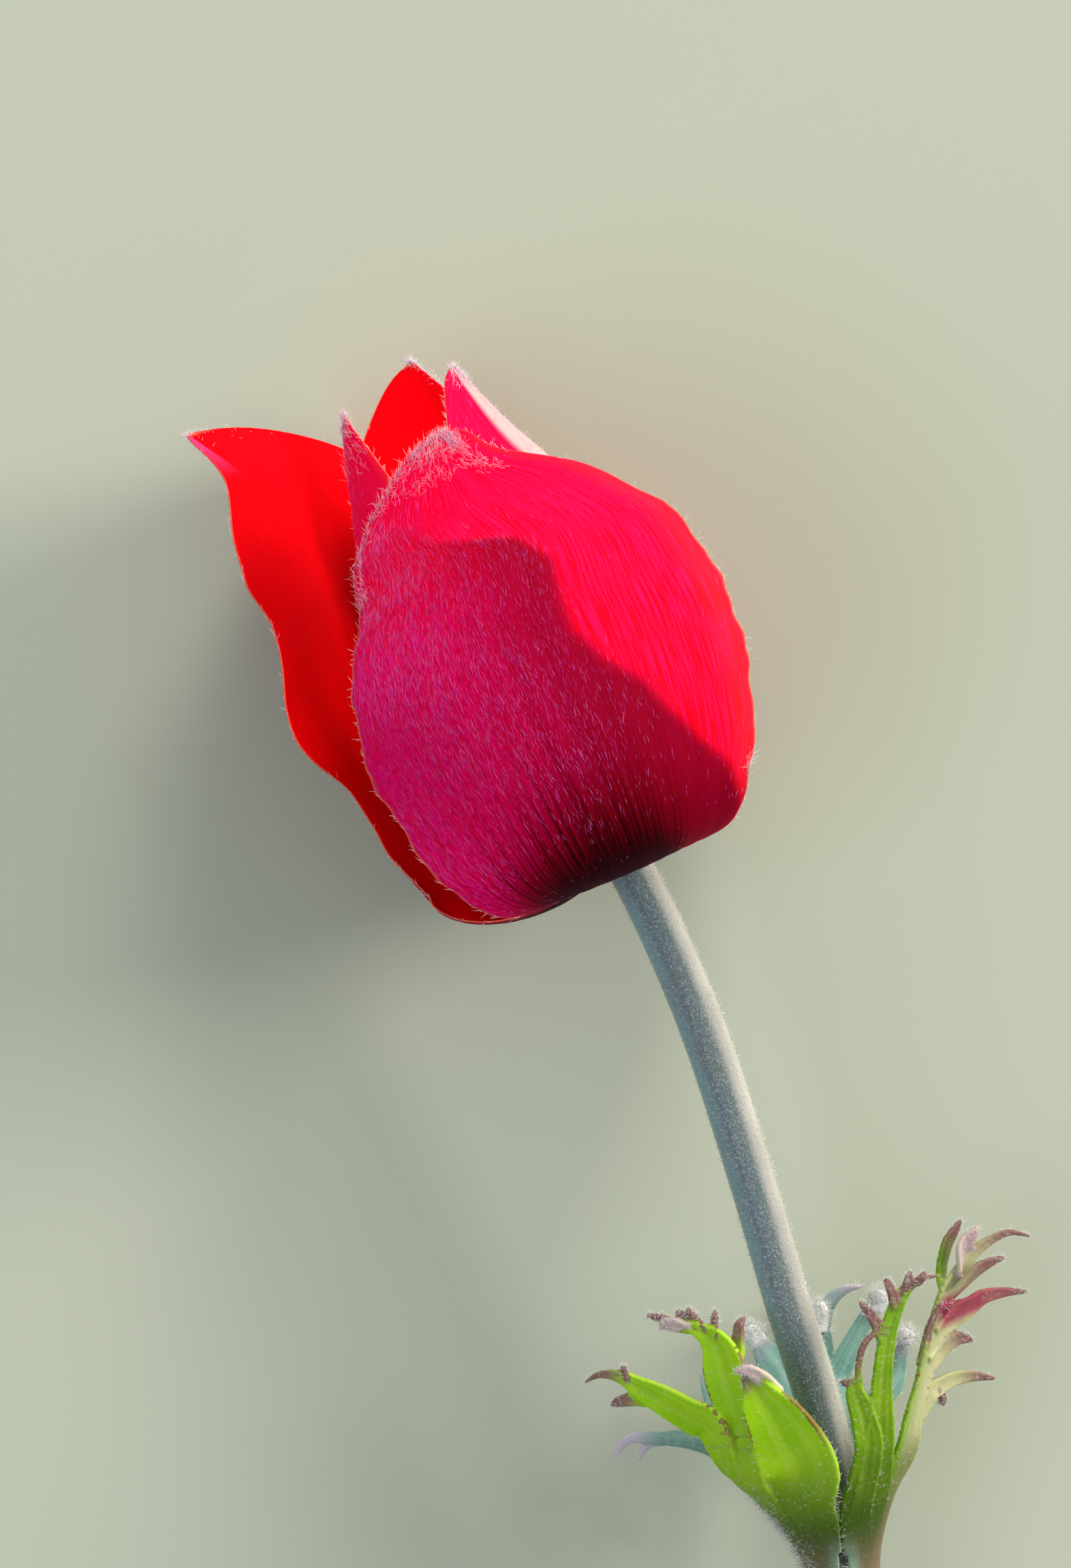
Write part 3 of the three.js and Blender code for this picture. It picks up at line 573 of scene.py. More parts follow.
# %% Petal inner side
# Scarlet petal tissue without hairs: the same velvet, smoother, with its dark claw low down. Light and
# shade are painted in: the red is a darker painted shade low down and in the shade of other tepals, and a
# clear bright painted light near the tip and where the tepal stands free.
petal_inner, tree, shader = new_material("petal_inner_side")
across, along, _ = mesh_values(tree, "place")
glow, fold, _ = mesh_values(tree, "tone")
cloud = streaks(tree, TEPAL_SIZE, (6.9, 19.2), 3.0, 5.0)
veins = streaks(tree, TEPAL_SIZE, (0.46, 38.3), 2.0, 7.0)

# Painted shade low on the tepal and in a band below the tip, painted light at the tip
shade = add(tree, "ShaderNodeValToRGB", (along,), stops=(
    (0.3, "#d00003"), (0.48, "#d60004"), (0.6, "#e20006"), (0.74, "#c80009"), (0.82, "#dc000c"),
    (0.89, "#ff0010"))).outputs["Color"]
margin = add(tree, "ShaderNodeMath", (across,), operation="ABSOLUTE").outputs["Value"]
pigment = coats(tree, shade, (
    # painted light where the tepal stands free
    ("#ff0010", glow),
    ("#c80008", (cloud, 0.4, 0.7, 0.0, 0.15)),
    ("#a80006", (veins, 0.3, 0.5, 0.16, 0.0)),
    ("#2a0006", (along, 0.06, 0.24, 1.0, 0.0)),
    # pale fold: wool and a painted highlight
    ("#ee3a78", fold),
    # orange margin and tip: painted glow of light through the thin edge
    ("#ff5a44", (margin, 0.985, 1.0, 0.0, 1.0)),
    ("#ff5a44", (along, 0.99, 1.0, 0.0, 1.0)),
))
relief = add(tree, "ShaderNodeBump", {"Height": veins, "Distance": 0.05 * MM, "Strength": 0.2})
fill(tree, shader, {
    "Base Color": pigment, "Normal": relief.outputs["Normal"], "Roughness": 0.6, "IOR": 1.4,
    "Specular IOR Level": 0.03, "Subsurface Weight": 0.8, "Subsurface Radius": (1.0, 0.05, 0.08),
    "Subsurface Scale": 0.6 * MM,
})
print("inner side finish:", petal_inner.name)

# %% [markdown]
# ## Tepal blades
# Each tepal is a closed blade 0.3 mm thick that thins to its margin. Its main veins stand up a little, and a
# slow ripple runs along it, because no petal is as even as its rule. A displacement in the shader would bend
# the light only, so the veins and the ripple are real shape.

# %% Tepal skin
TEPAL_ROWS = 130
TEPAL_COLUMNS = 80
SCALLOP = 0.011
SCALLOP_WAVES = (37, 97)
VEIN_HEIGHT = 0.035
VEIN_WAVES = 34
RIPPLE_HEIGHT = 0.10
RIPPLE_WAVES = (9, 5)


def tepal_skin(blade, s, q):
    """Middle of a tepal with raised veins, a slow ripple and a scalloped margin, and three directions."""
    broad, fine = SCALLOP_WAVES
    scallop = np.abs(q) ** 8 * (np.sin(broad * s + 4 * np.sign(q)) + 0.4 * np.sin(fine * s))
    q = q * (1 + SCALLOP * scallop)
    points = blade_point(blade, BLOOM, s, q)
    along = unit(blade_point(blade, BLOOM, s + 0.004, q) - blade_point(blade, BLOOM, s - 0.004, q))
    across = unit(blade_point(blade, BLOOM, s, q + 0.004) - blade_point(blade, BLOOM, s, q - 0.004))
    out = unit(np.cross(across, along))
    swell = np.sin(np.pi * np.clip(s, 0, 1))
    ridges = VEIN_HEIGHT * np.cos(q * VEIN_WAVES + 3 * np.sin(4 * s)) * swell * (1 - 0.6 * s)
    ripple = RIPPLE_HEIGHT * np.sin(RIPPLE_WAVES[0] * s + RIPPLE_WAVES[1] * q) * swell
    return rested(points + out * (ridges + ripple)[..., None], PETAL_THICKNESS / 2), along, across, out


def margin_thinning(s, q):
    """How far a tepal has thinned, from 0 inside to 1 at its margin and tip."""
    return np.maximum(np.abs(q) ** 8, s ** 14)


print("tepal skin of", TEPAL_ROWS, "by", TEPAL_COLUMNS, "quads a side")

# %% Make the tepals
for node_name, blade in TEPALS.items():
    s, q = np.meshgrid(np.linspace(0, 1, TEPAL_ROWS + 1), np.linspace(-1, 1, TEPAL_COLUMNS + 1),
                       indexing="ij")
    grid = tepal_skin(blade, s, q)[0]
    points, faces = sheet(grid, PETAL_THICKNESS - 0.2 * margin_thinning(s, q))
    place = np.stack([q.ravel(), s.ravel(), np.zeros(s.size)], -1)
    # A third value of one gives the inner side a pattern of its own
    inner_place = place + np.array((0, 0, 1.0))
    # tone holds the share of painted glow and of the pale fold with its painted highlight
    tone = np.stack([painted_glow_of(node_name, s, q), pale_of(node_name, s, q), 0 * s], -1).reshape(-1, 3)
    quads_a_side = TEPAL_ROWS * TEPAL_COLUMNS
    face_side = np.zeros(len(faces), int)
    face_side[quads_a_side:2 * quads_a_side] = 1
    values = {"place": np.concatenate([place, inner_place]), "tone": np.concatenate([tone, tone])}
    make_piece(node_name + "_petal", points, faces, [petal_outer, petal_inner], node_name, values,
               face_side)

# %% [markdown]
# ## Stem
# The stalk is round, downy and about 3 mm thick, and swells where the whorl of bracts grows on it. A curve
# object with a bevel would do, but a tube of its own rings lets the swelling and the fine grooves of a
# drying stalk be real shape.

# %% Stem measurements
WHORL = np.array((15.6, -51.9, -5.5))
CUT_END = np.array((21.5, -104.0, STEM_RADIUS - AXIS_HEIGHT))
STEM_POINTS = np.array((
    CUT_END,
    (18.7, -88, -13.4),
    (16.7, -70, -9.8),
    WHORL,
    (14.6, -42.4, -4.2),
    (11.2, -30.7, -2.6),
    (8.4, -21.2, -1.5),
    (5.2, -11.5, -0.6),
    (2.1, -4.2, -0.1),
    (0.0, 0.0, 0.0),
))
WHORL_UP = unit(STEM_POINTS[4] - WHORL)
RECEPTACLE_TOP = 2.5
RECEPTACLE_TIP_RADIUS = 1.25
STEM_RINGS = 300
STEM_SIDES = 36
GROOVES = 9
GROOVE_DEPTH = 0.035
print("the whorl grows", round(float(np.linalg.norm(WHORL))), "mm below the bloom")

# %% Smooth line
def stem_line(count):
    """Points evenly spaced along the stalk's smooth middle line, and how far along it each is."""
    points = STEM_POINTS
    dense = []
    for k in range(len(points) - 1):
        p1, p2 = points[k], points[k + 1]
        p0 = points[k - 1] if k > 0 else 2 * points[0] - points[1]
        p3 = points[k + 2] if k + 2 < len(points) else 2 * points[-1] - points[-2]
        d0, d1, d2 = (np.sqrt(np.linalg.norm(b - a)) for a, b in ((p0, p1), (p1, p2), (p2, p3)))
        m1 = ((p1 - p0) / d0 - (p2 - p0) / (d0 + d1) + (p2 - p1) / d1) * d1
        m2 = ((p2 - p1) / d1 - (p3 - p1) / (d1 + d2) + (p3 - p2) / d2) * d1
        t = np.linspace(0, 1, 200, endpoint=False)[:, None]
        dense.append(p1 + m1 * t + (3 * p2 - 3 * p1 - 2 * m1 - m2) * t ** 2
                     + (2 * p1 - 2 * p2 + m1 + m2) * t ** 3)
    dense = np.concatenate(dense + [points[-1:]])
    run = np.concatenate([[0], np.cumsum(np.linalg.norm(np.diff(dense, axis=0), axis=1))])
    even = np.linspace(0, run[-1], count)
    return np.stack([np.interp(even, run, dense[:, k]) for k in range(3)], -1), even


line, stem_run = stem_line(STEM_RINGS)
stem_length = stem_run[-1]
print("stalk length", round(float(stem_length), 1), "mm")

# %% Rings round a line
def rings_round(line, radii, sides):
    """Rings of points round a line, with grooves whose depth is a share of the radius."""
    tangent = unit(np.gradient(line, axis=0))
    side = np.zeros_like(line)
    current = np.cross((1.0, 0, 0), tangent[0])
    for k, t in enumerate(tangent):
        current = current - t * np.dot(current, t)
        current = current / np.linalg.norm(current)
        side[k] = current
    other = np.cross(tangent, side)
    turn = 2 * np.pi * np.arange(sides) / sides
    radius = radii[:, None] * (1 - GROOVE_DEPTH * (0.5 + 0.5 * np.cos(GROOVES * turn)))
    return (line[:, None] + side[:, None] * (radius * np.cos(turn))[..., None]
            + other[:, None] * (radius * np.sin(turn))[..., None])


def tube_faces(rings, sides):
    """Faces of a closed tube of rings, ends and all."""
    at = np.arange(rings * sides).reshape(rings, sides)
    a, b = at[:-1], np.roll(at, -1, axis=1)[:-1]
    quads = np.stack([a, b, b + sides, a + sides], -1).reshape(-1, 4).tolist()
    return quads + [at[0][::-1].tolist(), at[-1].tolist()]


# The node, where the whorl grows, swells the stalk over 1.4 mm to each side
NODE_MIDDLE = WHORL - 1.6 * WHORL_UP
NODE_REACH = 1.4
from_node = np.linalg.norm(line - NODE_MIDDLE, axis=1) / NODE_REACH
radii = STEM_RADIUS + (NODE_RADIUS - STEM_RADIUS) * np.exp(-from_node ** 4)
line = np.concatenate([line, [BLOOM["axis"] * (RECEPTACLE_TOP - 0.5), BLOOM["axis"] * RECEPTACLE_TOP]])
radii = np.append(radii, (STEM_RADIUS, RECEPTACLE_TIP_RADIUS))
stem_rings = rings_round(line, radii, STEM_SIDES)
print("stem of", len(line), "rings")

# %% Stalk skin
# Plant skin under short down: greyish, soft and without shine. Light and shade are painted round it: the
# side towards the key lamp is a pale warm grey, the shaded side stays blue-green. Low on the stalk it turns
# brown. The specks of down are 0.17 mm wide.
stalk_skin, tree, shader = new_material("downy_stalk_skin")
_, along, sunny = mesh_values(tree, "place")
down = specks(tree, 0.1667, 3.0)
blotch = specks(tree, 3.846, 4.0)
# Painted light and shade round the stalk: teal on the shaded side, pale warm grey towards the key lamp
skin = add(tree, "ShaderNodeValToRGB", (sunny,), stops=(
    (0.07, "#6c9494"), (0.2, "#708c94"), (0.35, "#566b73"), (0.64, "#5a6c6e"), (0.8, "#a4a29c"),
    (0.93, "#bcbab0"))).outputs["Color"]
skin = coats(tree, skin, (
    ("#a48c78", (along, 0.35, 0.6, 0.35, 0.0)),
    ("#6d6c66", (blotch, 0.35, 0.7, 0.0, 0.3)),
    ("#a4acaa", (down, 0.45, 0.65, 0.0, 0.4)),
))
relief = add(tree, "ShaderNodeBump", {"Height": down, "Distance": 0.08 * MM, "Strength": 0.5})
fill(tree, shader, {
    "Base Color": skin, "Normal": relief.outputs["Normal"], "Roughness": 0.75, "Sheen Weight": 0.6,
    "Sheen Roughness": 0.45, "Sheen Tint": "#f4f0e6", "Subsurface Weight": 0.15,
    "Subsurface Scale": 0.8 * MM,
})
print("stalk finish:", stalk_skin.name)

# %% Make the stem
turn = np.arange(STEM_SIDES) / STEM_SIDES
share = np.append(stem_run, (stem_length + 1, stem_length + 2)) / stem_length
# Painted light: 1 on the side of the stalk that faces the key lamp at the right, 0 on the far side
painted_light_side = 0.5 + 0.5 * np.sin(2 * np.pi * turn)
place = np.stack(np.broadcast_arrays(turn[None, :], share[:, None], painted_light_side[None, :]), -1).reshape(-1, 3)
make_piece("stem_stalk", stem_rings.reshape(-1, 3), tube_faces(len(line), STEM_SIDES), [stalk_skin],
           "stem", {"place": place})

# %% [markdown]
# ## Bracts
# Three leaves stand in a ring on the stalk, well below the bloom. Each starts as a palm that wraps round the
# stalk like a cup and is cut deep into lobes, and the lobes end in small curled teeth. A palm is the same
# kind of blade as a tepal. A lobe is a blade along a middle line, given here in millimetres from the whorl,
# as it was read off the photograph.

# %% Left bract
# The left bract turns its open face to the camera. Its broad front lobe stands before the stalk, and the two
# others lean away to the left. A lobe has a root on the palm, or none where it is a tooth on another lobe.
BRACTS = {}
BRACTS["bract_left"] = dict(
    facing=1,
    palm=dict(
        azimuth=-60, wave=0, tip=11, skew=(0.0, 0.0),
        rib=((2.35, 0.35), (2.7, 2.4), (3.9, 4.8), (5.5, 7), (7.1, 9), (8.4, 10.8)),
        left=(1.7, 2, 2.7, 3.4, 3.8, 3.6),
        right=(1.8, 2.3, 3.3, 4.5, 5, 4.4),
        bend=(0.42, 0.4, 0.3, 0.22, 0.15, 0.1),
        reach=(0.8, 0.6),
    ),
    lobes=(
        dict(root=(0.8, -0.45),
             line=((-9.3, 11.7, 3.8), (-11.1, 12.8, 3.9), (-12.9, 13.8, 3.8), (-14.7, 14.7, 3.5),
                   (-16.1, 15.4, 3.2), (-17.5, 15.5, 2.8), (-18.6, 14.9, 2.3)),
             width=(1.6, 2.6, 3.1, 2.7, 2.3, 1.6, 1, 0.7, 0.5)),
        dict(root=None,
             line=((-15.6, 15.1, 3.3), (-15.8, 15.7, 3.4), (-15.9, 16.2, 3.5)),
             width=(0.8, 0.6, 0.5)),
        dict(root=None,
             line=((-14, 13.8, 3.4), (-15.1, 13.8, 3.2), (-16.1, 13.6, 2.9), (-16.7, 13.3, 2.5)),
             width=(1.1, 1, 0.8, 0.55)),
        dict(root=(0.8, 0.1),
             line=((-7.1, 11.7, 5.1), (-7.7, 13.5, 5.4), (-8.4, 15.4, 5.5), (-8.9, 17.1, 5.5),
                   (-9.6, 18.2, 5.3), (-10.7, 18.9, 5.1), (-11.9, 19.1, 4.7), (-13.3, 18.9, 4.2)),
             width=(2, 3.2, 3.8, 3.7, 3.6, 3.1, 2.1, 1.2, 1, 0.6)),
        dict(root=None,
             line=((-9.4, 18.3, 5.3), (-9.5, 19.3, 5.5), (-9.4, 20.3, 5.4)),
             width=(0.7, 0.6, 0.5)),
        dict(root=None,
             line=((-8.4, 15.8, 5.5), (-7.9, 17.2, 5.6), (-7.8, 18.4, 5.7), (-7.7, 19.3, 5.7),
                   (-7.3, 19.8, 5.3)),
             width=(1.2, 1.3, 0.9, 0.8, 0.55)),
        dict(root=None,
             line=((-10.2, 18.7, 5.1), (-10.7, 19.5, 5.1), (-11.4, 20.4, 4.9)),
             width=(0.8, 0.6, 0.5)),
        dict(root=None,
             line=((-10.8, 18.8, 4.8), (-11.4, 19.7, 4.7), (-12.2, 20.1, 4.4)),
             width=(0.7, 0.55, 0.5)),
        dict(root=None,
             line=((-11.4, 18.9, 4.7), (-12.8, 19.5, 4.4), (-14.2, 19.8, 4)),
             width=(0.8, 0.6, 0.5)),
        dict(root=(0.5, 0.6),
             line=((-3.2, 8.8, 6.5), (-4.2, 11, 6.8), (-5, 12.5, 7.1), (-6, 13.9, 7.4),
                   (-6.8, 15.1, 7.6), (-7.6, 15.8, 7.7)),
             width=(2.4, 4, 5.4, 5.4, 4.6, 3.6, 2.5, 0.9)),
        dict(root=None, pale=0.65,
             line=((-4.8, 14.7, 7.4), (-6, 15.7, 7.9), (-7.2, 16.3, 8.1), (-8.2, 16.1, 7.9)),
             width=(0.6, 0.9, 0.8, 0.4)),
        dict(root=None, pale=0.6,
             line=((-11.2, 18.9, 4.9), (-12.3, 19.2, 4.7), (-13.3, 19.1, 4.4)),
             width=(0.8, 1, 0.6)),
    ),
)
print("left bract:", len(BRACTS["bract_left"]["lobes"]), "lobes and teeth")

# %% Right bract
# The right bract stands half turned away. Its tall outer lobe carries curled teeth on both sides
BRACTS["bract_right"] = dict(
    facing=1,
    palm=dict(
        azimuth=60, wave=0, tip=11, skew=(0.0, 0.0),
        rib=((2.35, 0.35), (2.6, 2.4), (3.3, 4.8), (4.3, 7.2), (5.3, 9.6), (6, 11.4)),
        left=(1.8, 2.2, 2.95, 3.7, 3.8, 3.3),
        right=(1.7, 1.9, 2.4, 2.8, 2.9, 2.6),
        bend=(0.42, 0.4, 0.34, 0.26, 0.2, 0.16),
        reach=(0.5, 0.68),
    ),
    lobes=(
        dict(root=(0.55, -0.55),
             line=((1.9, 10.4, 5.4), (2.1, 12.7, 6), (2.2, 14.9, 6.4), (2.4, 17, 6.5),
                   (2.7, 18.8, 6.4), (3.2, 20.4, 6.2), (3.9, 21.7, 6), (4.9, 22.4, 5.6),
                   (6.3, 22.7, 5.1)),
             width=(1.6, 2.6, 2.6, 2.1, 1.6, 1.4, 1.3, 1.2, 1.1, 0.8, 0.55)),
        dict(root=(0.5, -0.8),
             line=((1.3, 10.3, 6), (1, 12.5, 6.5), (0.4, 14.4, 6.9), (0.1, 15.2, 7),
                   (-0.8, 15.3, 6.8)),
             width=(1.2, 1.9, 2.1, 1.9, 1.5, 1.1, 0.6)),
        dict(root=None,
             line=((0.7, 15, 6.9), (0.6, 16.5, 7.1), (0.9, 17.8, 7.2), (1.5, 18.6, 7),
                   (2.3, 18.9, 6.6)),
             width=(0.55, 0.45, 0.45, 0.45, 0.5)),
        dict(root=None,
             line=((2.4, 18.2, 6.5), (1.7, 19.7, 6.8), (0.7, 21, 6.8)),
             width=(1.1, 0.8, 0.55)),
        dict(root=None,
             line=((3.2, 20.5, 6.3), (2.9, 21.8, 6.5), (2.5, 22.6, 6.3)),
             width=(0.9, 0.6, 0.5)),
        dict(root=None,
             line=((3.8, 21.5, 6), (4.1, 22.4, 6.2), (4.3, 23.1, 6.1)),
             width=(0.8, 0.6, 0.5)),
        dict(root=None,
             line=((4.7, 22.1, 5.7), (5.1, 22.6, 5.9), (5.4, 23, 5.8)),
             width=(0.7, 0.55, 0.5)),
        dict(root=(0.65, 0.05),
             line=((4.1, 10.7, 3.8), (4.5, 12.6, 3.7), (5.1, 14.6, 3.5), (5.6, 16.7, 3.3),
                   (6.1, 18.5, 3.1), (6.6, 20.2, 2.8), (7.2, 21.6, 2.6), (8.1, 22.9, 2.4),
                   (8.9, 24, 2.2), (10.1, 24.9, 2), (11.6, 25.5, 1.7), (13.1, 25.2, 1.3)),
             width=(1.8, 2.5, 2.2, 1.8, 1.6, 1.5, 1.5, 1.5, 1.4, 1.3, 1.1, 0.9, 0.75, 0.55)),
        dict(root=None,
             line=((6.9, 20.7, 2.7), (6.6, 22.5, 2.1), (7, 24.4, 1.8), (7.6, 25.5, 1.6),
                   (8.2, 26.4, 1.5)),
             width=(1.3, 1.2, 1, 0.8, 0.5)),
        dict(root=None, pale=0.7,
             line=((8, 22.5, 2.4), (8.1, 24.1, 2.8), (8.5, 25, 2.9), (9.4, 26, 2.8)),
             width=(1.4, 1.7, 1.3, 0.5)),
        dict(root=None,
             line=((5, 16.2, 3.8), (5.4, 17.8, 3.8), (5.8, 19.1, 3.8), (6.5, 20.2, 3.6),
                   (7.5, 20.7, 3.2)),
             width=(0.4, 0.45, 0.45, 0.45, 0.4)),
        dict(root=None,
             line=((7, 20.7, 2.8), (8.2, 22, 3.2), (9.2, 23, 3.2), (10.2, 23.5, 3),
                   (11.2, 23.8, 2.7)),
             width=(1, 0.9, 0.9, 0.7, 0.5)),
        dict(root=None,
             line=((6.3, 18.3, 3), (7.5, 19.6, 2.3), (8.6, 20.2, 1.8), (9.7, 20.9, 1.4),
                   (11.3, 21.2, 1), (13, 21.2, 0.5)),
             width=(1.6, 1.9, 1.5, 1.1, 0.8, 0.6)),
        dict(root=None,
             line=((5.8, 16.3, 3.2), (6.8, 17.4, 2.4), (7.9, 18, 1.9), (9, 17.8, 1.5)),
             width=(1.4, 1.2, 1, 0.65)),
        dict(root=(0.85, 0.6),
             line=((5.6, 13.8, 2.4), (6.6, 14.6, 1.5), (7.9, 15.1, 1), (9.2, 15.2, 0.8),
                   (10.7, 15, 0.4)),
             width=(1.2, 1.5, 1.5, 1.3, 1.1, 0.9, 0.6)),
        dict(root=None,
             line=((6.5, 14.5, 1.5), (6.8, 13.8, 1), (7, 13.1, 0.5)),
             width=(0.8, 0.7, 0.55)),
    ),
)
print("right bract:", len(BRACTS["bract_right"]["lobes"]), "lobes and teeth")

# %% Back bract
# The back bract is behind the stalk and shows its underside, painted a cool blue-green as shade, with
# woolly pale tips
BRACTS["bract_back"] = dict(
    facing=-1,
    palm=dict(
        azimuth=180, wave=0, tip=11, skew=(0.0, 0.0),
        rib=((2.35, 0.35), (2.7, 2.4), (3.6, 4.8), (4.9, 7), (6, 9), (6.9, 10.8)),
        left=(1.6, 2.1, 3, 4, 4.4, 4.2),
        right=(1.6, 2, 3.2, 4.8, 5.6, 5.2),
        bend=(0.4, 0.35, 0.25, 0.14, 0.1, 0.08),
        reach=(0.7, 0.7),
    ),
    lobes=(
        dict(root=(0.9, -0.15),
             line=((-0.5, 13.9, -6.4), (0.3, 15.8, -6.7), (1.2, 17.5, -6.9), (2.2, 19.2, -6.8),
                   (3.1, 20.3, -6.4)),
             width=(2.4, 2.4, 2, 1.6, 1.4, 1.4, 1.2)),
        dict(root=(0.95, 0.1),
             line=((-1.4, 15.9, -7.6), (-1.4, 18, -7.8), (-0.8, 19.7, -7.7), (0.3, 20.7, -7.4),
                   (1.6, 21, -7)),
             width=(2, 2.2, 1.9, 1.5, 1.1, 0.9, 0.6)),
        dict(root=(0.85, -0.65),
             line=((3.6, 14, -5.8), (4.2, 15.8, -6), (4.7, 17.4, -5.8)),
             width=(2.4, 2.2, 1.7, 1.4, 1.3)),
        dict(root=(0.9, 0.45),
             line=((-3.9, 13.8, -7.2), (-5.2, 15.8, -8.2), (-6.2, 17.5, -8.4)),
             width=(2.4, 2.6, 2.5, 2.2, 1.4)),
        dict(root=(0.9, 0.75),
             line=((-8.3, 12.1, -5.6), (-9.5, 13.9, -6), (-9.8, 15.3, -6)),
             width=(2, 2, 1.8, 1.4, 1)),
        dict(root=(0.75, 0.8),
             line=((-7.6, 9, -4.8), (-9.8, 9.8, -5.3), (-11.9, 10.1, -5.8), (-13.4, 9.9, -6.2),
                   (-14.2, 9.3, -6.5), (-14.7, 8.4, -6.7)),
             width=(2, 2.2, 1.9, 1.5, 1.2, 0.9, 0.7, 0.55)),
        dict(root=None,
             line=((-12.8, 10.1, -6), (-14.9, 10.1, -6.4), (-15.9, 9.5, -6.6),
                   (-16.3, 8.6, -6.8)),
             width=(0.9, 0.8, 0.65, 0.55)),
        dict(root=None, pale=1,
             line=((-1.6, 17.6, -7.3), (-1.6, 18.8, -7.3), (-1.4, 19.9, -7.2)),
             width=(1.3, 1.5, 1.1)),
        dict(root=None, pale=0.8,
             line=((2.4, 19.2, -6.5), (2.8, 20.2, -6.4), (3.1, 20.7, -6.3)),
             width=(1.2, 1.4, 1)),
        dict(root=None, pale=1,
             line=((4.4, 17, -5.7), (4.7, 17.6, -5.7), (4.9, 18, -5.7)),
             width=(1.2, 1.4, 1)),
        dict(root=None, pale=0.9,
             line=((-5.8, 16.8, -8.2), (-6.3, 17.5, -8.2), (-6.5, 18.1, -8.2)),
             width=(1.2, 1.4, 0.9)),
    ),
)
print("back bract:", len(BRACTS["bract_back"]["lobes"]), "lobes and teeth")

# %% [markdown]
# ## Leaf finish
# A bract is a thin leaf: yellow-green and bright where light comes through, with paler veins along it, a
# purple-brown margin, and teeth that dry to purple-brown. Low down it is a blue-green sheath. The back of
# the whorl, turned from the light, looks cool and bluish. One recipe, with colours for each leaf, gives all
# three, and those colours paint light and shade: bright greens on the left leaf as painted light, darker
# greens on the right leaf and cool blue-greens on the back leaf as painted shade.

# %% Leaf tissue
# Leaf tissue: a soft green skin with a dull wax bloom, 0.4 mm thick, so light scatters through it and makes
# the green glow. The cloud is 2.4 mm wide and the grain 0.3 mm. Veins are 0.4 mm apart.
LOBE_SIZE = (2.0, 14.0)


def leaf_finish(name, young, old, vein, dried, pale, glow):
    """Finish of one leaf, from its colours and the share of light that scatters in it."""
    material, tree, shader = new_material(name)
    _, _, folded = mesh_values(tree, "place")
    to_tip, height, to_edge = mesh_values(tree, "reach")
    dry_tooth, bleached, magenta = mesh_values(tree, "tone")
    cloud = specks(tree, 2.381, 4.0)
    grain = specks(tree, 0.3125, 3.0)
    veins = streaks(tree, LOBE_SIZE, (0.4, 20.0), 2.0, 3.0)

    ground = add(tree, "ShaderNodeValToRGB", (cloud,), stops=((0.3, young), (0.7, old))).outputs["Color"]
    beige = add(tree, "ShaderNodeValToRGB", (mask(tree, (height, 4.0, 14.0, 0.0, 1.0)),), stops=(
        (0.0, "#7c6a54"), (0.5, "#848a54"), (1.0, "#c0bc98"))).outputs["Color"]
    # The clouds make the brown of the margin and of the tips uneven
    edge = add(tree, "ShaderNodeMath", (cloud, 0.3, to_edge), operation="MULTIPLY_ADD").outputs["Value"]
    tip = add(tree, "ShaderNodeMath", (cloud, -2.4, to_tip), operation="MULTIPLY_ADD").outputs["Value"]
    tissue = coats(tree, ground, (
        (vein, (veins, 0.5, 0.62, 0.0, 0.25)),
        ("#385010", (height, 4.0, 13.5, 0.95, 0.0)),
        ("#7c6c58", (height, 0.5, 6.0, 0.95, 0.0)),
        (beige, bleached),
        ("#8fb39e", (to_edge, 0.2, 1.3, 0.8, 0.0), (height, 1.5, 5.5, 1.0, 0.0)),
        ("#7c3c34", (edge, 0.2, 0.42, 0.8, 0.0), (height, 11.0, 14.0, 0.0, 1.0)),
        (dried, (tip, -0.6, 2.4, 0.9, 0.0)),
        (dried, dry_tooth),
        (pale, folded),
        ("#98204c", magenta),
        ("#d8dcc0", (grain, 0.55, 0.7, 0.0, 0.12)),
    ))
    relief = add(tree, "ShaderNodeBump", {"Height": grain, "Distance": 0.08 * MM, "Strength": 0.4})
    fill(tree, shader, {
        "Base Color": tissue, "Normal": relief.outputs["Normal"], "Roughness": 0.55, "IOR": 1.42,
        "Specular IOR Level": 0.25, "Subsurface Weight": glow, "Subsurface Radius": (0.7, 1.0, 0.15),
        "Subsurface Scale": 0.7 * MM,
    })
    return material


# Painted light on the left leaf, painted shade on the right leaf and on the back leaf's underside
LEAF_FINISHES = {
    "bract_left": leaf_finish(
        "leaf_tissue_in_light", "#92c400", "#a4d002", "#c0d450", "#80585a", "#dcc6cc", 0.8),
    "bract_right": leaf_finish(
        "leaf_tissue", "#608e00", "#7aa004", "#a0b448", "#7c5456", "#c8b0b8", 0.8),
    "bract_back": leaf_finish(
        "leaf_underside_in_painted_shade", "#6b9d94", "#8bb2a8", "#aec4c2", "#c8bccf", "#f0f0f8", 0.4),
}
print("leaf finishes:", [finish.name for finish in LEAF_FINISHES.values()])

# %% [markdown]
# ## Bract blades
# The palm and its lobes are made apart and overlap where a lobe leaves the palm. Boolean joins leave hard
# seams there, so the overlapping blades are remeshed as one skin, fine enough to keep a tooth of half a
# millimetre, and smoothed, which gives the soft webs between the lobes of a real leaf. Each point of the
# new skin then takes its place on the blade from the nearest point of the old blades.

# %% Lobe blades
WHORL_FRONT = unit(np.array((0.0, 0.0, 1.0)) - WHORL_UP * WHORL_UP[2])
WHORL_FRAME = dict(origin=WHORL, right=np.cross(WHORL_UP, WHORL_FRONT), axis=WHORL_UP, front=WHORL_FRONT)
LOBE_FOLD = 0.12


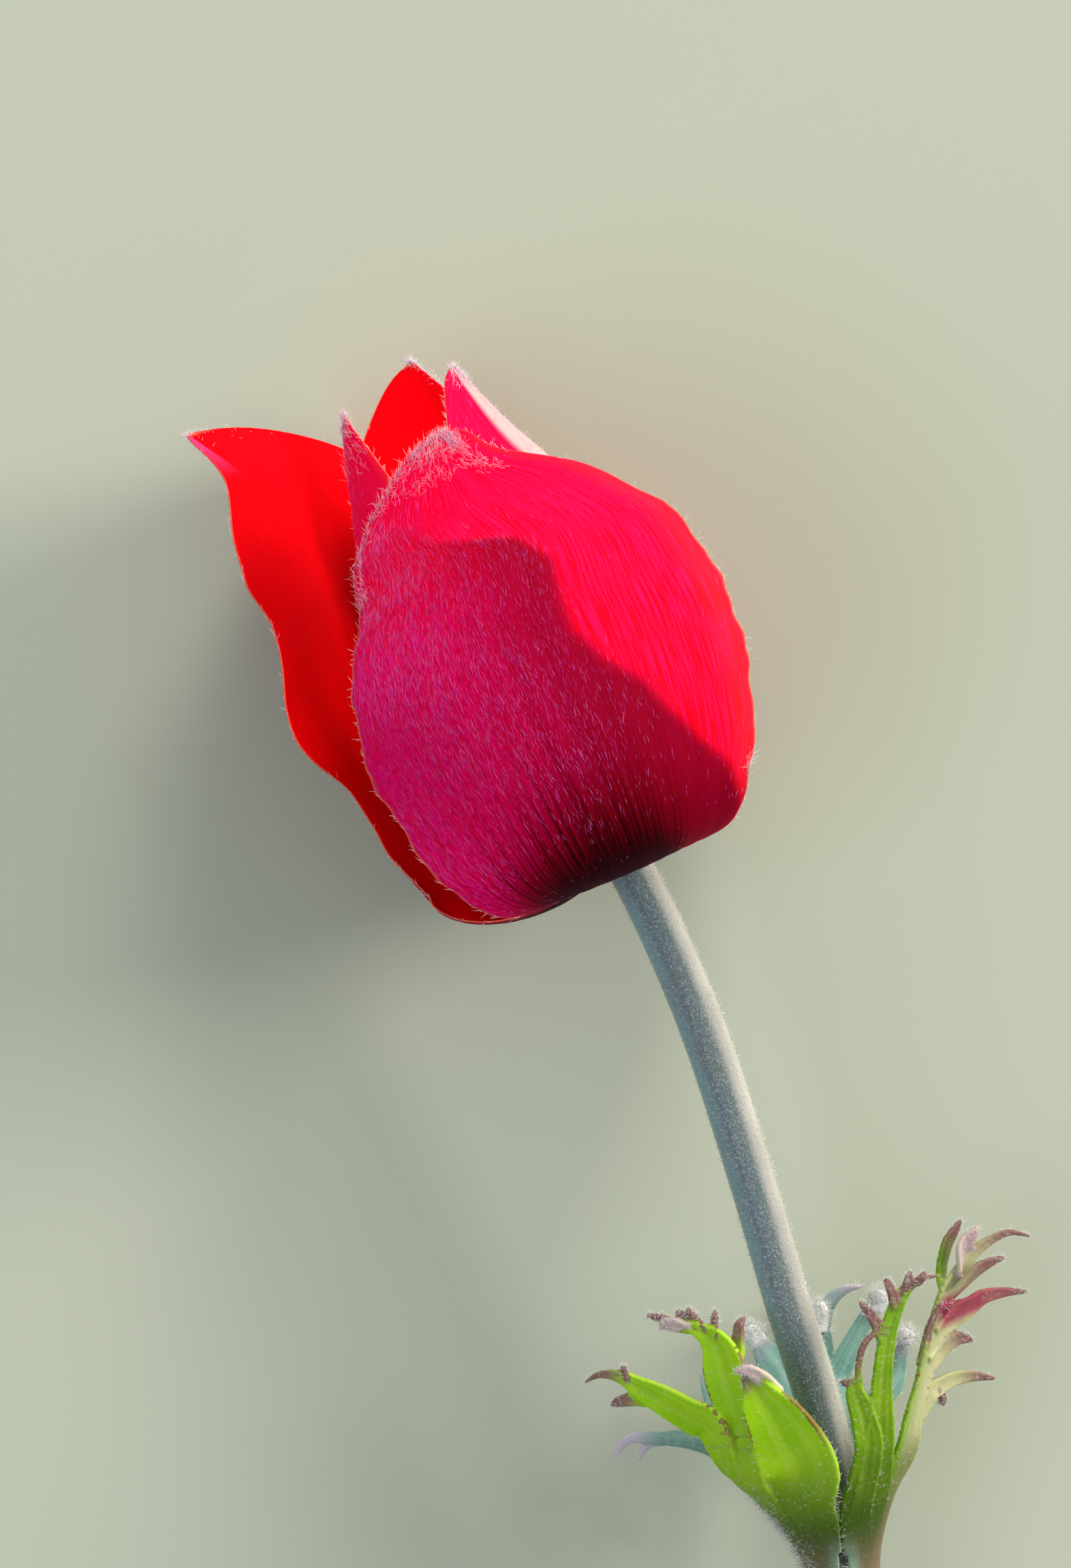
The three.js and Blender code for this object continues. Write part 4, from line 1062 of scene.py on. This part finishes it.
def lobe_line(lobe, palm):
    """Middle line of a lobe from its root inside the palm, in millimetres from the whorl."""
    if lobe["root"] is None:
        return np.array(lobe["line"], float)
    s, q = lobe["root"]
    roots = [blade_point(palm, WHORL_FRAME, at, q) - WHORL for at in (s - 0.25, s)]
    return np.concatenate([roots, np.array(lobe["line"], float)])


def lobe_grid(lobe, palm, facing, s, q):
    """Middle surface of a lobe. It starts as part of the cup and turns its face to the front."""
    line = lobe_line(lobe, palm)
    here = WHORL + through(line, s)
    along = unit(through(line, s + 0.02) - through(line, s - 0.02))
    radial = here - WHORL
    radial = unit(radial - (radial @ WHORL_UP)[..., None] * WHORL_UP)
    face = radial * (1 - 0.7 * s)[..., None] + np.array((0, 0, facing)) * (0.3 + 0.7 * s)[..., None]
    side = unit(np.cross(along, face))
    width = through(lobe["width"], s) * (1 - 0.75 * s ** 7)
    fold = LOBE_FOLD * np.abs(q) * width
    free = here + side * (q * width / 2)[..., None] + unit(face) * fold[..., None]
    if lobe["root"] is None:
        return free
    step = s * (len(line) - 1)
    palm_s = lobe["root"][0] - 0.25 + 0.25 * step
    palm_q = lobe["root"][1] + q * width / 2 / blade_half(palm, palm_s, q)
    share = np.clip((step - 0.5) / 1.5, 0, 1)
    share = (share * share * (3 - 2 * share))[..., None]
    return blade_point(palm, WHORL_FRAME, palm_s, palm_q) * (1 - share) + free * share


print("lobes fold by", LOBE_FOLD, "of their width")

# %% One skin
SKIN_STEP = 0.125
SMOOTHINGS = 2


def grown_together(name, grids, step):
    """One skin round overlapping closed blades."""
    points, faces, start = [], [], 0
    for grid, thickness in grids:
        p, f = sheet(grid, thickness)
        points.append(p)
        faces.append(f + start)
        start += len(p)
    mesh = bpy.data.meshes.new(name + "_raw")
    mesh.from_pydata(np.concatenate(points).tolist(), [], np.concatenate(faces).tolist())
    raw = bpy.data.objects.new(name + "_raw", mesh)
    shape = bpy.data.objects.new(name + "_shape", mesh)
    for item in (raw, shape):
        scene.collection.objects.link(item)
    remesh = raw.modifiers.new("skin", "REMESH")
    remesh.mode = "VOXEL"
    remesh.voxel_size = step
    raw.modifiers.new("even", "SMOOTH").iterations = SMOOTHINGS
    raw.modifiers.new("wrap", "SHRINKWRAP").target = shape
    raw.modifiers.new("soft", "SMOOTH").iterations = SMOOTHINGS
    skin = bpy.data.meshes.new_from_object(raw.evaluated_get(bpy.context.evaluated_depsgraph_get()))
    flat = np.empty(len(skin.vertices) * 3)
    skin.vertices.foreach_get("co", flat)
    faces = [list(p.vertices) for p in skin.polygons]
    bpy.data.objects.remove(raw)
    bpy.data.objects.remove(shape)
    bpy.data.meshes.remove(mesh)
    bpy.data.meshes.remove(skin)
    return flat.reshape(-1, 3), faces


print("skin remeshed at", SKIN_STEP, "mm")

# %% Blades of a bract
# A bract's blades, each with its thickness and the values of its points: the place across and along, the
# distance to the tip and to the edge, and how much of it is a dried tooth or a pale folded tip
PALM_GRID = (61, 41)
LOBE_GRID = (41, 9)
FAR_FROM_TIP = 9.0


def palm_blade(palm):
    """The palm as a grid, its thickness and its points' values. Its rim thins where the lobes take over."""
    share, q = np.meshgrid(np.linspace(0, 1, PALM_GRID[0]), np.linspace(-1, 1, PALM_GRID[1]), indexing="ij")
    s = share * np.interp(q, (-0.4, 0.4), palm["reach"])
    grid = blade_point(palm, WHORL_FRAME, s, q)
    rim = np.clip((share - 0.7) / 0.3, 0, 1)
    thickness = (LEAF_THICKNESS - 0.12 * np.abs(q) ** 4) * (1 - 0.7 * rim)
    to_edge = (1 - np.abs(q)) * blade_half(palm, s, q)
    return grid, thickness, (q, s * 0.5, 0 * s + FAR_FROM_TIP, to_edge, 0 * s, 0 * s)


def lobe_blade(lobe, bract):
    """A lobe as a grid, its thickness and its points' values."""
    s, q = np.meshgrid(np.linspace(0, 1, LOBE_GRID[0]), np.linspace(-1, 1, LOBE_GRID[1]), indexing="ij")
    grid = lobe_grid(lobe, bract["palm"], bract["facing"], s, q)
    middle = grid[:, LOBE_GRID[1] // 2]
    length = np.linalg.norm(np.diff(middle, axis=0), axis=1).sum()
    width = through(lobe["width"], s)
    to_edge = (1 - np.abs(q)) * width / 2
    dry_tooth = np.clip((1.15 - width) / 0.35, 0, 1) * np.clip(s / 0.35, 0, 1)
    pale = np.full(s.shape, lobe.get("pale", 0.0))
    values = (q, 0.5 + 0.5 * s, (1 - s) * length, to_edge, dry_tooth, pale)
    return grid, LEAF_THICKNESS - 0.1 * s ** 3, values


def stains(node_name, points):
    """Share of bleached tissue on the right bract's outer side, and of magenta on its one turned tooth."""
    right, up = (points - WHORL)[:, 0], (points - WHORL)[:, 1]
    # Bleached to the right of a line that leans with the outer lobe. The turned tooth is 6.3 to 12.5 mm to
    # the right of the whorl, along a line that rises from 17.2 mm above it
    bleached = np.clip((right - 0.25 * up - 0.9) / 1.0, 0, 0.85) * (node_name == "bract_right")
    magenta = np.clip((right - 6.3) / 0.6, 0, 0.9) * np.clip((12.5 - right) / 3, 0, 1) * (bleached > 0)
    return bleached, magenta * np.clip(2.2 - 1.6 * np.abs(up - 17.2 - 0.4 * right), 0, 1)


print("a palm and its lobes carry six values a point")

# %% Make the bracts
NEAR_BLADE = 0.4

leaf_skins = {}
for node_name, bract in BRACTS.items():
    blades = [palm_blade(bract["palm"])] + [lobe_blade(lobe, bract) for lobe in bract["lobes"]]
    points, faces = grown_together(node_name, [blade[:2] for blade in blades], SKIN_STEP)
    old_points = np.concatenate([grid.reshape(-1, 3) for grid, _, _ in blades])
    old_values = np.concatenate([np.stack(values, -1).reshape(-1, 6) for _, _, values in blades])
    nearest = KDTree(len(old_points))
    for k, point in enumerate(old_points):
        nearest.insert(point, k)
    nearest.balance()
    across, along, to_tip, _, dry_tooth, pale = old_values[[nearest.find(p)[1] for p in points]].T
    # A point near two blades is as far from the edge as it is on the one that covers it best
    to_edge = np.array([max((old_values[k, 3] for _, k, _ in nearest.find_range(p, NEAR_BLADE)), default=0.0)
                        for p in points])
    place = np.stack([across, along, pale], -1)
    reach = np.stack([to_tip, (points - WHORL) @ WHORL_UP, to_edge], -1)
    tone = np.stack([dry_tooth * 0.9, *stains(node_name, points)], -1)
    leaf_skins[node_name] = (points, faces, place, reach)
    make_piece(node_name + "_leaf", points, faces, [LEAF_FINISHES[node_name]], node_name,
               {"place": place, "reach": reach, "tone": tone})

# %% [markdown]
# ## Dark centre
# In the middle of the bloom stands a dome of many carpels, nearly black, each with a fine curved style, and
# round it a ring of stamens with blue-black anthers. They show only from the mouth of the bloom. Carpels and
# stamens are placed by the turn of about 137.5 degrees that plants themselves grow by, which looks more real
# than a scatter by chance.

# %% Dark centre finishes
# Velvet of tiny hairs on the carpels: nearly black, with a faint bluish sheen where it is seen at a slant
carpel_velvet, tree, shader = new_material("carpel_velvet")
nap = specks(tree, 0.3846, 3.0)
velvet = add(tree, "ShaderNodeValToRGB", (nap,), stops=((0.35, "#0d0a12"), (0.7, "#2a2130")))
fill(tree, shader, {
    "Base Color": velvet.outputs["Color"], "Roughness": 0.8, "Sheen Weight": 0.5, "Sheen Tint": "#8a86b0",
})

# Ripe pollen on the anthers: a dry blue-black powder in grains, drawn at 0.2 mm because real ones don't show
anther_pollen, tree, shader = new_material("anther_pollen")
grains = specks(tree, 0.2, 2.0)
powder = add(tree, "ShaderNodeValToRGB", (grains,), stops=((0.35, "#141428"), (0.7, "#30365c")))
relief = add(tree, "ShaderNodeBump", {"Height": grains, "Distance": 0.05 * MM, "Strength": 0.7})
fill(tree, shader, {
    "Base Color": powder.outputs["Color"], "Normal": relief.outputs["Normal"], "Roughness": 0.85,
})
print("dark centre finishes:", carpel_velvet.name, anther_pollen.name)

# %% Rods in the bloom
GOLDEN_TURN = math.pi * (3 - math.sqrt(5))


def in_bloom(across, height, front):
    """Point in the bloom, from values to the right, along the axis and to the front."""
    across, height, front = (np.asarray(v, float)[..., None] for v in (across, height, front))
    return BLOOM["right"] * across + BLOOM["axis"] * height + BLOOM["front"] * front


def rods(lines, radii, sides, squash=1.0):
    """Closed rods along lines of the same number of points, with a radius at each point."""
    count, rings = lines.shape[:2]
    tangent = unit(np.gradient(lines, axis=1))
    guide = np.where(np.abs(tangent[..., :1]) < 0.8, np.array((1.0, 0, 0)), np.array((0, 1.0, 0)))
    side = unit(np.cross(tangent, guide))
    other = np.cross(tangent, side)
    turn = 2 * np.pi * np.arange(sides) / sides
    rim = (lines[:, :, None] + side[:, :, None] * (radii[..., None] * np.cos(turn))[..., None]
           + other[:, :, None] * (radii[..., None] * squash * np.sin(turn))[..., None])
    one = tube_faces(rings, sides)
    faces = [[v + k * rings * sides for v in face] for k in range(count) for face in one]
    return rim.reshape(-1, 3), faces


print("golden turn", round(math.degrees(GOLDEN_TURN), 1), "degrees")

# %% Carpels
HEAD_BOTTOM = 2.8
HEAD_HEIGHT = 6.2
HEAD_RADIUS = 3.0
DOME_RINGS = 26
DOME_SIDES = 40
DOME_FOOT_RADIUS = 1.1
CARPELS = 170
CARPEL_LENGTH = 0.85
CARPEL_SHARES = np.array((0, 0.14, 0.3, 0.42, 0.5, 0.75, 1.0))
CARPEL_RADII = np.array((0.16, 0.26, 0.22, 0.1, 0.05, 0.045, 0.03))
STYLE_CURVE = 0.25


def head_radius(rise):
    """Radius of the dome of carpels at a share of its height."""
    swell = np.sin(np.pi * np.minimum(rise * 0.5 + 0.2, 1))
    return HEAD_RADIUS * swell * np.sqrt(np.clip(1 - rise ** 4, 0, 1))


rise = np.linspace(0.02, 1, DOME_RINGS)
dome_line = in_bloom(0 * rise, HEAD_BOTTOM + rise * HEAD_HEIGHT, 0 * rise)
dome_radii = np.maximum(head_radius(rise) * 0.93, 0.1)
dome_radii[0] = DOME_FOOT_RADIUS
dome_points, dome_faces = rods(dome_line[None], dome_radii[None], DOME_SIDES)

k = np.arange(CARPELS)
rise = 0.03 + 0.97 * (k + 0.5) / CARPELS
turn = k * GOLDEN_TURN
radius = head_radius(rise) * 0.9
root = in_bloom(radius * np.sin(turn), HEAD_BOTTOM + rise * HEAD_HEIGHT * 0.96, radius * np.cos(turn))
outward = unit(root - in_bloom(0 * rise, HEAD_BOTTOM + 0.35 * HEAD_HEIGHT + 0 * rise, 0 * rise))
lines = (root[:, None] + outward[:, None] * (CARPEL_SHARES * CARPEL_LENGTH)[None, :, None]
         + BLOOM["axis"] * (STYLE_CURVE * CARPEL_SHARES ** 2)[None, :, None])
carpel_points, carpel_faces = rods(lines, np.tile(CARPEL_RADII, (CARPELS, 1)), 7)
faces = dome_faces + [[v + len(dome_points) for v in face] for face in carpel_faces]
make_piece("carpel_head_dome", np.concatenate([dome_points, carpel_points]), faces, [carpel_velvet],
           "carpel_head")

# %% Stamens
# Three rows of stamens lean out by turns, from a collar that holds them to the stem's receptacle
STAMENS = 90
ROW_LEANS = np.radians(np.array((62, 47, 32)))
ROW_LENGTHS = np.array((6.6, 6.2, 5.4))
ROW_STARTS = np.array((2.25, 2.5, 2.7))
ROW_FOOT = 2.5
STAMEN_SHARES = np.array((0, 0.1, 0.3, 0.5, 0.7, 0.8, 0.84, 0.88, 0.93, 0.97, 1.0))
STAMEN_RADII = np.array((0.1, 0.07, 0.06, 0.06, 0.06, 0.07, 0.24, 0.32, 0.33, 0.27, 0.08))
ANTHER_FLATNESS = 0.7
COLLAR = np.array(((1.98, 2.15), (2.9, 2.15), (2.95, 2.45), (2.5, 2.9), (1.98, 2.9)))
COLLAR_SIDES = 40

k = np.arange(STAMENS)
turn = k * GOLDEN_TURN
row = k % 3
lean = ROW_LEANS[row]
length = ROW_LENGTHS[row] + 0.5 * np.sin(2.4 * k)
out = (ROW_STARTS[row][:, None] + STAMEN_SHARES * (length * np.cos(lean))[:, None]
       + 0.15 * np.sin(np.pi * STAMEN_SHARES))
height = ROW_FOOT + STAMEN_SHARES * (length * np.sin(lean))[:, None]
lines = in_bloom(out * np.sin(turn)[:, None], height, out * np.cos(turn)[:, None])
stamen_points, stamen_faces = rods(lines, np.tile(STAMEN_RADII, (STAMENS, 1)), 8, ANTHER_FLATNESS)

turn = np.linspace(0, 2 * np.pi, COLLAR_SIDES, endpoint=False)[:, None]
collar_points = in_bloom(COLLAR[:, 0] * np.sin(turn), COLLAR[:, 1] + 0 * turn, COLLAR[:, 0] * np.cos(turn))
at = np.arange(COLLAR_SIDES * len(COLLAR)).reshape(COLLAR_SIDES, len(COLLAR))
after = np.roll(at, -1, axis=0)
collar_faces = np.stack([at, np.roll(at, -1, axis=1), np.roll(after, -1, axis=1), after], -1).reshape(-1, 4)
faces = collar_faces.tolist() + [[v + collar_points[..., 0].size for v in face] for face in stamen_faces]
make_piece("stamens_ring", np.concatenate([collar_points.reshape(-1, 3), stamen_points]), faces,
           [anther_pollen], "stamens")

# %% [markdown]
# ## Hairs
# The whole flower is downy. Silky hairs lie along the veins on the outer side of the tepals, a white wool
# gathers at their tips and margins, and short down covers the stalk and the leaves. Hair curves would be the
# quick way, but they are left behind when a model is exported, so each hair is a thin closed spike of its
# own. Real hairs are about 0.02 mm thick, too fine to show, so these are up to twice as thick.

# %% Hair finishes
def hair_finish(name, code, sheen):
    """Hair of clear dead cells: it scatters light, so it looks pale and takes on the petal's colour."""
    material, tree, shader = new_material(name)
    fill(tree, shader, {
        "Base Color": code, "Roughness": 0.4, "IOR": 1.5, "Sheen Weight": sheen, "Subsurface Weight": 0.5,
        "Subsurface Radius": (1.0, 0.8, 0.8), "Subsurface Scale": 0.2 * MM,
    })
    return material


silk_hair = hair_finish("silky_petal_hair", "#f22ac8", 0.0)
# A paler copy of the silk: a painted highlight for hairs that catch the light
bright_silk_hair = hair_finish("bright_petal_hair", "#ff66e0", 0.0)
wool_hair = hair_finish("white_petal_wool", "#ffe6f8", 0.3)
rosy_hair = hair_finish("rosy_petal_wool", "#ffa0d4", 0.2)
down_hair = hair_finish("pale_stalk_down", "#e6e8e0", 0.4)
print("five hair finishes, from", silk_hair.name, "to", down_hair.name)

# %% Hair maker
SILK_WIDTH = 0.027
WOOL_WIDTH = 0.03
LEAF_DOWN_WIDTH = 0.035
MARGIN_HAIR_WIDTH = 0.036
STALK_DOWN_WIDTH = 0.04
HAIR_CLEARANCE = 0.02
HAIR_ROOT_DEPTH = 0.02
# A fixed seed gives the same hairs in every run
chance = np.random.default_rng(7)


def hairs(name, roots, aims, lengths, width, curl, material, fine=False):
    """Thin closed spikes from the roots. A fine hair is straight, any other bends by its curl."""
    count = len(roots)
    aims = unit(aims)
    ends = unit(aims + curl * unit(chance.normal(size=(count, 3))))
    side = unit(np.cross(aims, chance.normal(size=(count, 3))))
    other = np.cross(aims, side)
    thick = width * chance.uniform(0.8, 1.25, count)
    lengths = np.broadcast_to(lengths, count)[:, None]
    turn = 2 * np.pi * np.arange(3) / 3
    ring = side[:, None] * np.cos(turn)[:, None] + other[:, None] * np.sin(turn)[:, None]
    base = roots[:, None] + ring * (thick / 2)[:, None, None]
    if fine:
        tips = roots + aims * lengths
        points = np.concatenate([base, tips[:, None]], 1)
        one = np.array(((0, 2, 1), (0, 1, 3), (1, 2, 3), (2, 0, 3)))
        faces = (one[None] + 4 * np.arange(count)[:, None, None]).reshape(-1, 3).tolist()
    else:
        middle = (roots + aims * lengths * 0.5)[:, None] + ring * (thick * 0.4)[:, None, None]
        tips = roots + aims * lengths * 0.5 + ends * lengths * 0.5
        points = np.concatenate([base, middle, tips[:, None]], 1)
        start = 7 * np.arange(count)[:, None, None]
        quads = np.array(((0, 1, 4, 3), (1, 2, 5, 4), (2, 0, 3, 5)))
        threes = np.array(((0, 2, 1), (3, 4, 6), (4, 5, 6), (5, 3, 6)))
        faces = (quads[None] + start).reshape(-1, 4).tolist()
        faces += (threes[None] + start).reshape(-1, 3).tolist()
    make_piece(name, rested(points.reshape(-1, 3), HAIR_CLEARANCE), faces, [material])


def on_tepal(name, s, q):
    """Places on a tepal's outer skin, with the way its veins run there, the way across and the way out."""
    here, along, across, out = tepal_skin(TEPALS[name], s, q)
    skin = PETAL_THICKNESS / 2 - 0.1 * margin_thinning(s, q)[:, None]
    return here + out * (skin - HAIR_ROOT_DEPTH), along, across, out


print("widths of hairs:", (SILK_WIDTH, WOOL_WIDTH, LEAF_DOWN_WIDTH, MARGIN_HAIR_WIDTH, STALK_DOWN_WIDTH))

# %% [markdown]
# ## Silk on the tepals
# On the broad front tepal the hairs lie almost flat and point to the tip, thick on its shaded left half and
# thin where it turns to the light. The other outer sides have fewer, since less of them is seen. One hair in
# six has a paler finish, a painted highlight where it catches the light.

# %% Silky hairs
BRIGHT_SHARE = 0.16


def silky_hairs(name, count, low=0.1):
    """Silk on a tepal's outer side, from a place low on it upwards."""
    s = chance.uniform(low, 0.99, 6 * count)
    q = chance.uniform(-0.99, 0.99, 6 * count)
    # Thick in the shade, thinner towards the right margin, and almost none on the dark claw
    density = (0.12 + 0.88 * (1 - painted_glow_of(name, s, q))) * np.clip((0.55 - q) / 1.2, 0.08, 1)
    density = density * np.clip((s + 0.15 * q * q - 0.26) / 0.22, 0.02, 1)
    keep = np.flatnonzero(chance.random(6 * count) < density)[:count]
    s, q, count = s[keep], q[keep], len(keep)
    roots, along, across, out = on_tepal(name, s, q)
    sway = chance.normal(scale=0.16, size=(count, 1))
    aims = along + across * sway + out * chance.uniform(0.02, 0.12, (count, 1))
    lengths = chance.uniform(0.3, 1.0, count)
    bright = chance.random(count) < BRIGHT_SHARE
    for label, pick, material in (("silk", ~bright, silk_hair), ("bright_silk", bright, bright_silk_hair)):
        hairs(f"{name}_{label}", roots[pick], aims[pick], lengths[pick], SILK_WIDTH, 0, material,
              fine=True)


silky_hairs("tepal_front", 9800)
silky_hairs("tepal_inner_left", 2600, 0.4)
silky_hairs("tepal_inner_right", 1600, 0.3)
silky_hairs("tepal_right", 2200)
silky_hairs("tepal_left", 2600)
silky_hairs("tepal_back", 1600, 0.2)

# %% [markdown]
# ## Wool at tips and margins
# The bud was closed by wool at the tips of its tepals. It is left there as a pale rosy band on the front
# tepal and a tuft on each of the others, and finer hairs stand out along every margin. Each patch of wool
# is a number of hairs in a stretch along its tepal and a stretch across it, with their length in
# millimetres and how far they spread out.

# %% Wool
def wool(name, label, count, s_range, q_range, length, spread_out, material=wool_hair):
    """A patch of wool on a tepal's outer side."""
    s = chance.uniform(*s_range, count)
    q = chance.uniform(*q_range, count)
    roots, along, across, out = on_tepal(name, s, q)
    aims = (along * 0.8 + out * chance.uniform(0.1, spread_out, (count, 1))
            + 0.4 * chance.normal(size=(count, 3)))
    hairs(f"{name}_{label}", roots, aims, chance.uniform(0.5, 1.0, count) * length, WOOL_WIDTH, 0.8,
          material)


wool("tepal_front", "margin_wool", 260, (0.8, 0.98), (-1.0, -0.9), 1.2, 0.4, rosy_hair)
wool("tepal_front", "wool", 160, (0.95, 0.985), (-0.95, 0.6), 1.2, 0.3)
wool("tepal_front", "fold_wool", 160, (0.9, 0.985), (0.35, 0.65), 1.1, 0.3, rosy_hair)
wool("tepal_front", "rosy_wool", 460, (0.91, 0.985), (-1.0, 0.7), 1.0, 0.3, rosy_hair)
wool("tepal_front", "wisp", 26, (0.235, 0.265), (0.96, 1.0), 1.4, 0.6)
wool("tepal_left", "wisp", 14, (0.52, 0.54), (0.97, 1.0), 1.2, 0.6)
wool("tepal_left", "notch_wisp", 12, (0.73, 0.75), (0.95, 1.0), 0.8, 0.5)
wool("tepal_left", "wool", 200, (0.96, 1.0), (-1.0, 0.9), 1.0, 0.5)
wool("tepal_inner_left", "wool", 60, (0.94, 1.0), (-1.0, 1.0), 1.2, 0.6)
wool("tepal_inner_left", "rosy_wool", 140, (0.88, 1.0), (-1.0, 1.0), 1.0, 0.4, rosy_hair)
wool("tepal_inner_right", "wool", 260, (0.95, 1.0), (-0.6, 1.0), 0.8, 0.4)
wool("tepal_inner_right", "fold_wool", 420, (0.74, 0.96), (0.2, 1.0), 0.5, 0.3)
wool("tepal_back", "wool", 120, (0.985, 1.0), (-1.0, 0.6), 1.1, 0.5)
wool("tepal_back", "margin_wool", 260, (0.92, 1.0), (-1.0, -0.9), 0.9, 0.5)
wool("tepal_right", "wool", 200, (0.94, 1.0), (-1.0, 1.0), 1.1, 0.5)

# %% Hairs along the margins
MARGIN_HAIRS = 280
MARGIN_HAIR_LENGTH = 0.8
AT_MARGIN = 0.995
TIP_SHARE = 0.15


def margin_hairs(name):
    """Hairs that stand out from both margins of a tepal, and one in seven from its tip."""
    count = MARGIN_HAIRS
    s = chance.uniform(0.12, 1.0, count)
    q = np.where(chance.random(count) < 0.5, -AT_MARGIN, AT_MARGIN)
    tip = chance.random(count) < TIP_SHARE
    s = np.where(tip, AT_MARGIN, s)
    q = np.where(tip, chance.uniform(-1, 1, count), q)
    roots, along, across, out = on_tepal(name, s, q)
    aims = (across * np.sign(q)[:, None] * 0.6 + along * chance.uniform(0.2, 1.2, (count, 1))
            + 0.35 * chance.normal(size=(count, 3)))
    lengths = chance.uniform(0.3, 1.0, count) * MARGIN_HAIR_LENGTH
    hairs(name + "_margin_hairs", roots, aims, lengths, MARGIN_HAIR_WIDTH, 0.5, wool_hair)


for node_name in TEPALS:
    margin_hairs(node_name)

# %% [markdown]
# ## Down on the stalk and the leaves
# Short down stands out all round the stalk, which makes its outline soft, and grows longer on the sheath of
# the whorl and in tufts on the curled teeth of the leaves.

# %% Down on the stalk
STALK_DOWN = 9000
DOWN_ROOT_DEPTH = 0.05

ring = chance.integers(0, len(line) - 4, STALK_DOWN)
around = chance.random(STALK_DOWN) * STEM_SIDES
low = np.floor(around).astype(int)
part = (around - low)[:, None]
roots = stem_rings[ring, low % STEM_SIDES] * (1 - part) + stem_rings[ring, (low + 1) % STEM_SIDES] * part
roots = roots + (stem_rings[ring + 1, 0] - stem_rings[ring, 0]) * chance.random((STALK_DOWN, 1))
out = unit(roots - line[ring])
up = unit(line[ring + 1] - line[ring])
aims = out + up * chance.uniform(-0.2, 0.9, (STALK_DOWN, 1)) + 0.3 * chance.normal(size=(STALK_DOWN, 3))
lengths = chance.uniform(0.2, 0.5, STALK_DOWN)
hairs("stem_down", roots - out * DOWN_ROOT_DEPTH, aims, lengths, STALK_DOWN_WIDTH, 0, down_hair,
      fine=True)

# %% Down on the leaves
LEAF_DOWN = 2200


def skin_normals(points, faces):
    """The way out of a skin at each of its points."""
    corners = np.array([face[:3] for face in faces])
    a, b, c = points[corners.T]
    normal = np.cross(b - a, c - a)
    total = np.zeros_like(points)
    for k in range(3):
        np.add.at(total, corners[:, k], normal)
    return unit(total)


for node_name, (points, faces, place, reach) in leaf_skins.items():
    out = skin_normals(points, faces)
    to_tip, height, to_edge = reach.T
    # Down is long low on the sheath's left side, and in tufts on the back bract's pale tips
    low = np.clip((10 - height) / 4, 0, 1) * np.clip(-0.45 - 1.6 * out[:, 0], 0, 1)
    tuft = 6.0 * (place[:, 2] > 0.5) * (node_name == "bract_back")
    weight = 0.008 + tuft + 4.0 * (to_tip < 1.2) + 0.6 * (to_tip < 3) + 0.7 * (to_edge < 0.3) + 2.5 * low
    pick = chance.choice(len(points), LEAF_DOWN, p=weight / weight.sum())
    aims = out[pick] + WHORL_UP * 0.5 + 0.5 * chance.normal(size=(LEAF_DOWN, 3))
    lengths = chance.uniform(0.2, 0.5, LEAF_DOWN) * (1 + 1.6 * low[pick] + tuft[pick] / 6)
    hairs(node_name + "_down", points[pick] - out[pick] * 0.03, aims, lengths, LEAF_DOWN_WIDTH, 0.6,
          down_hair)
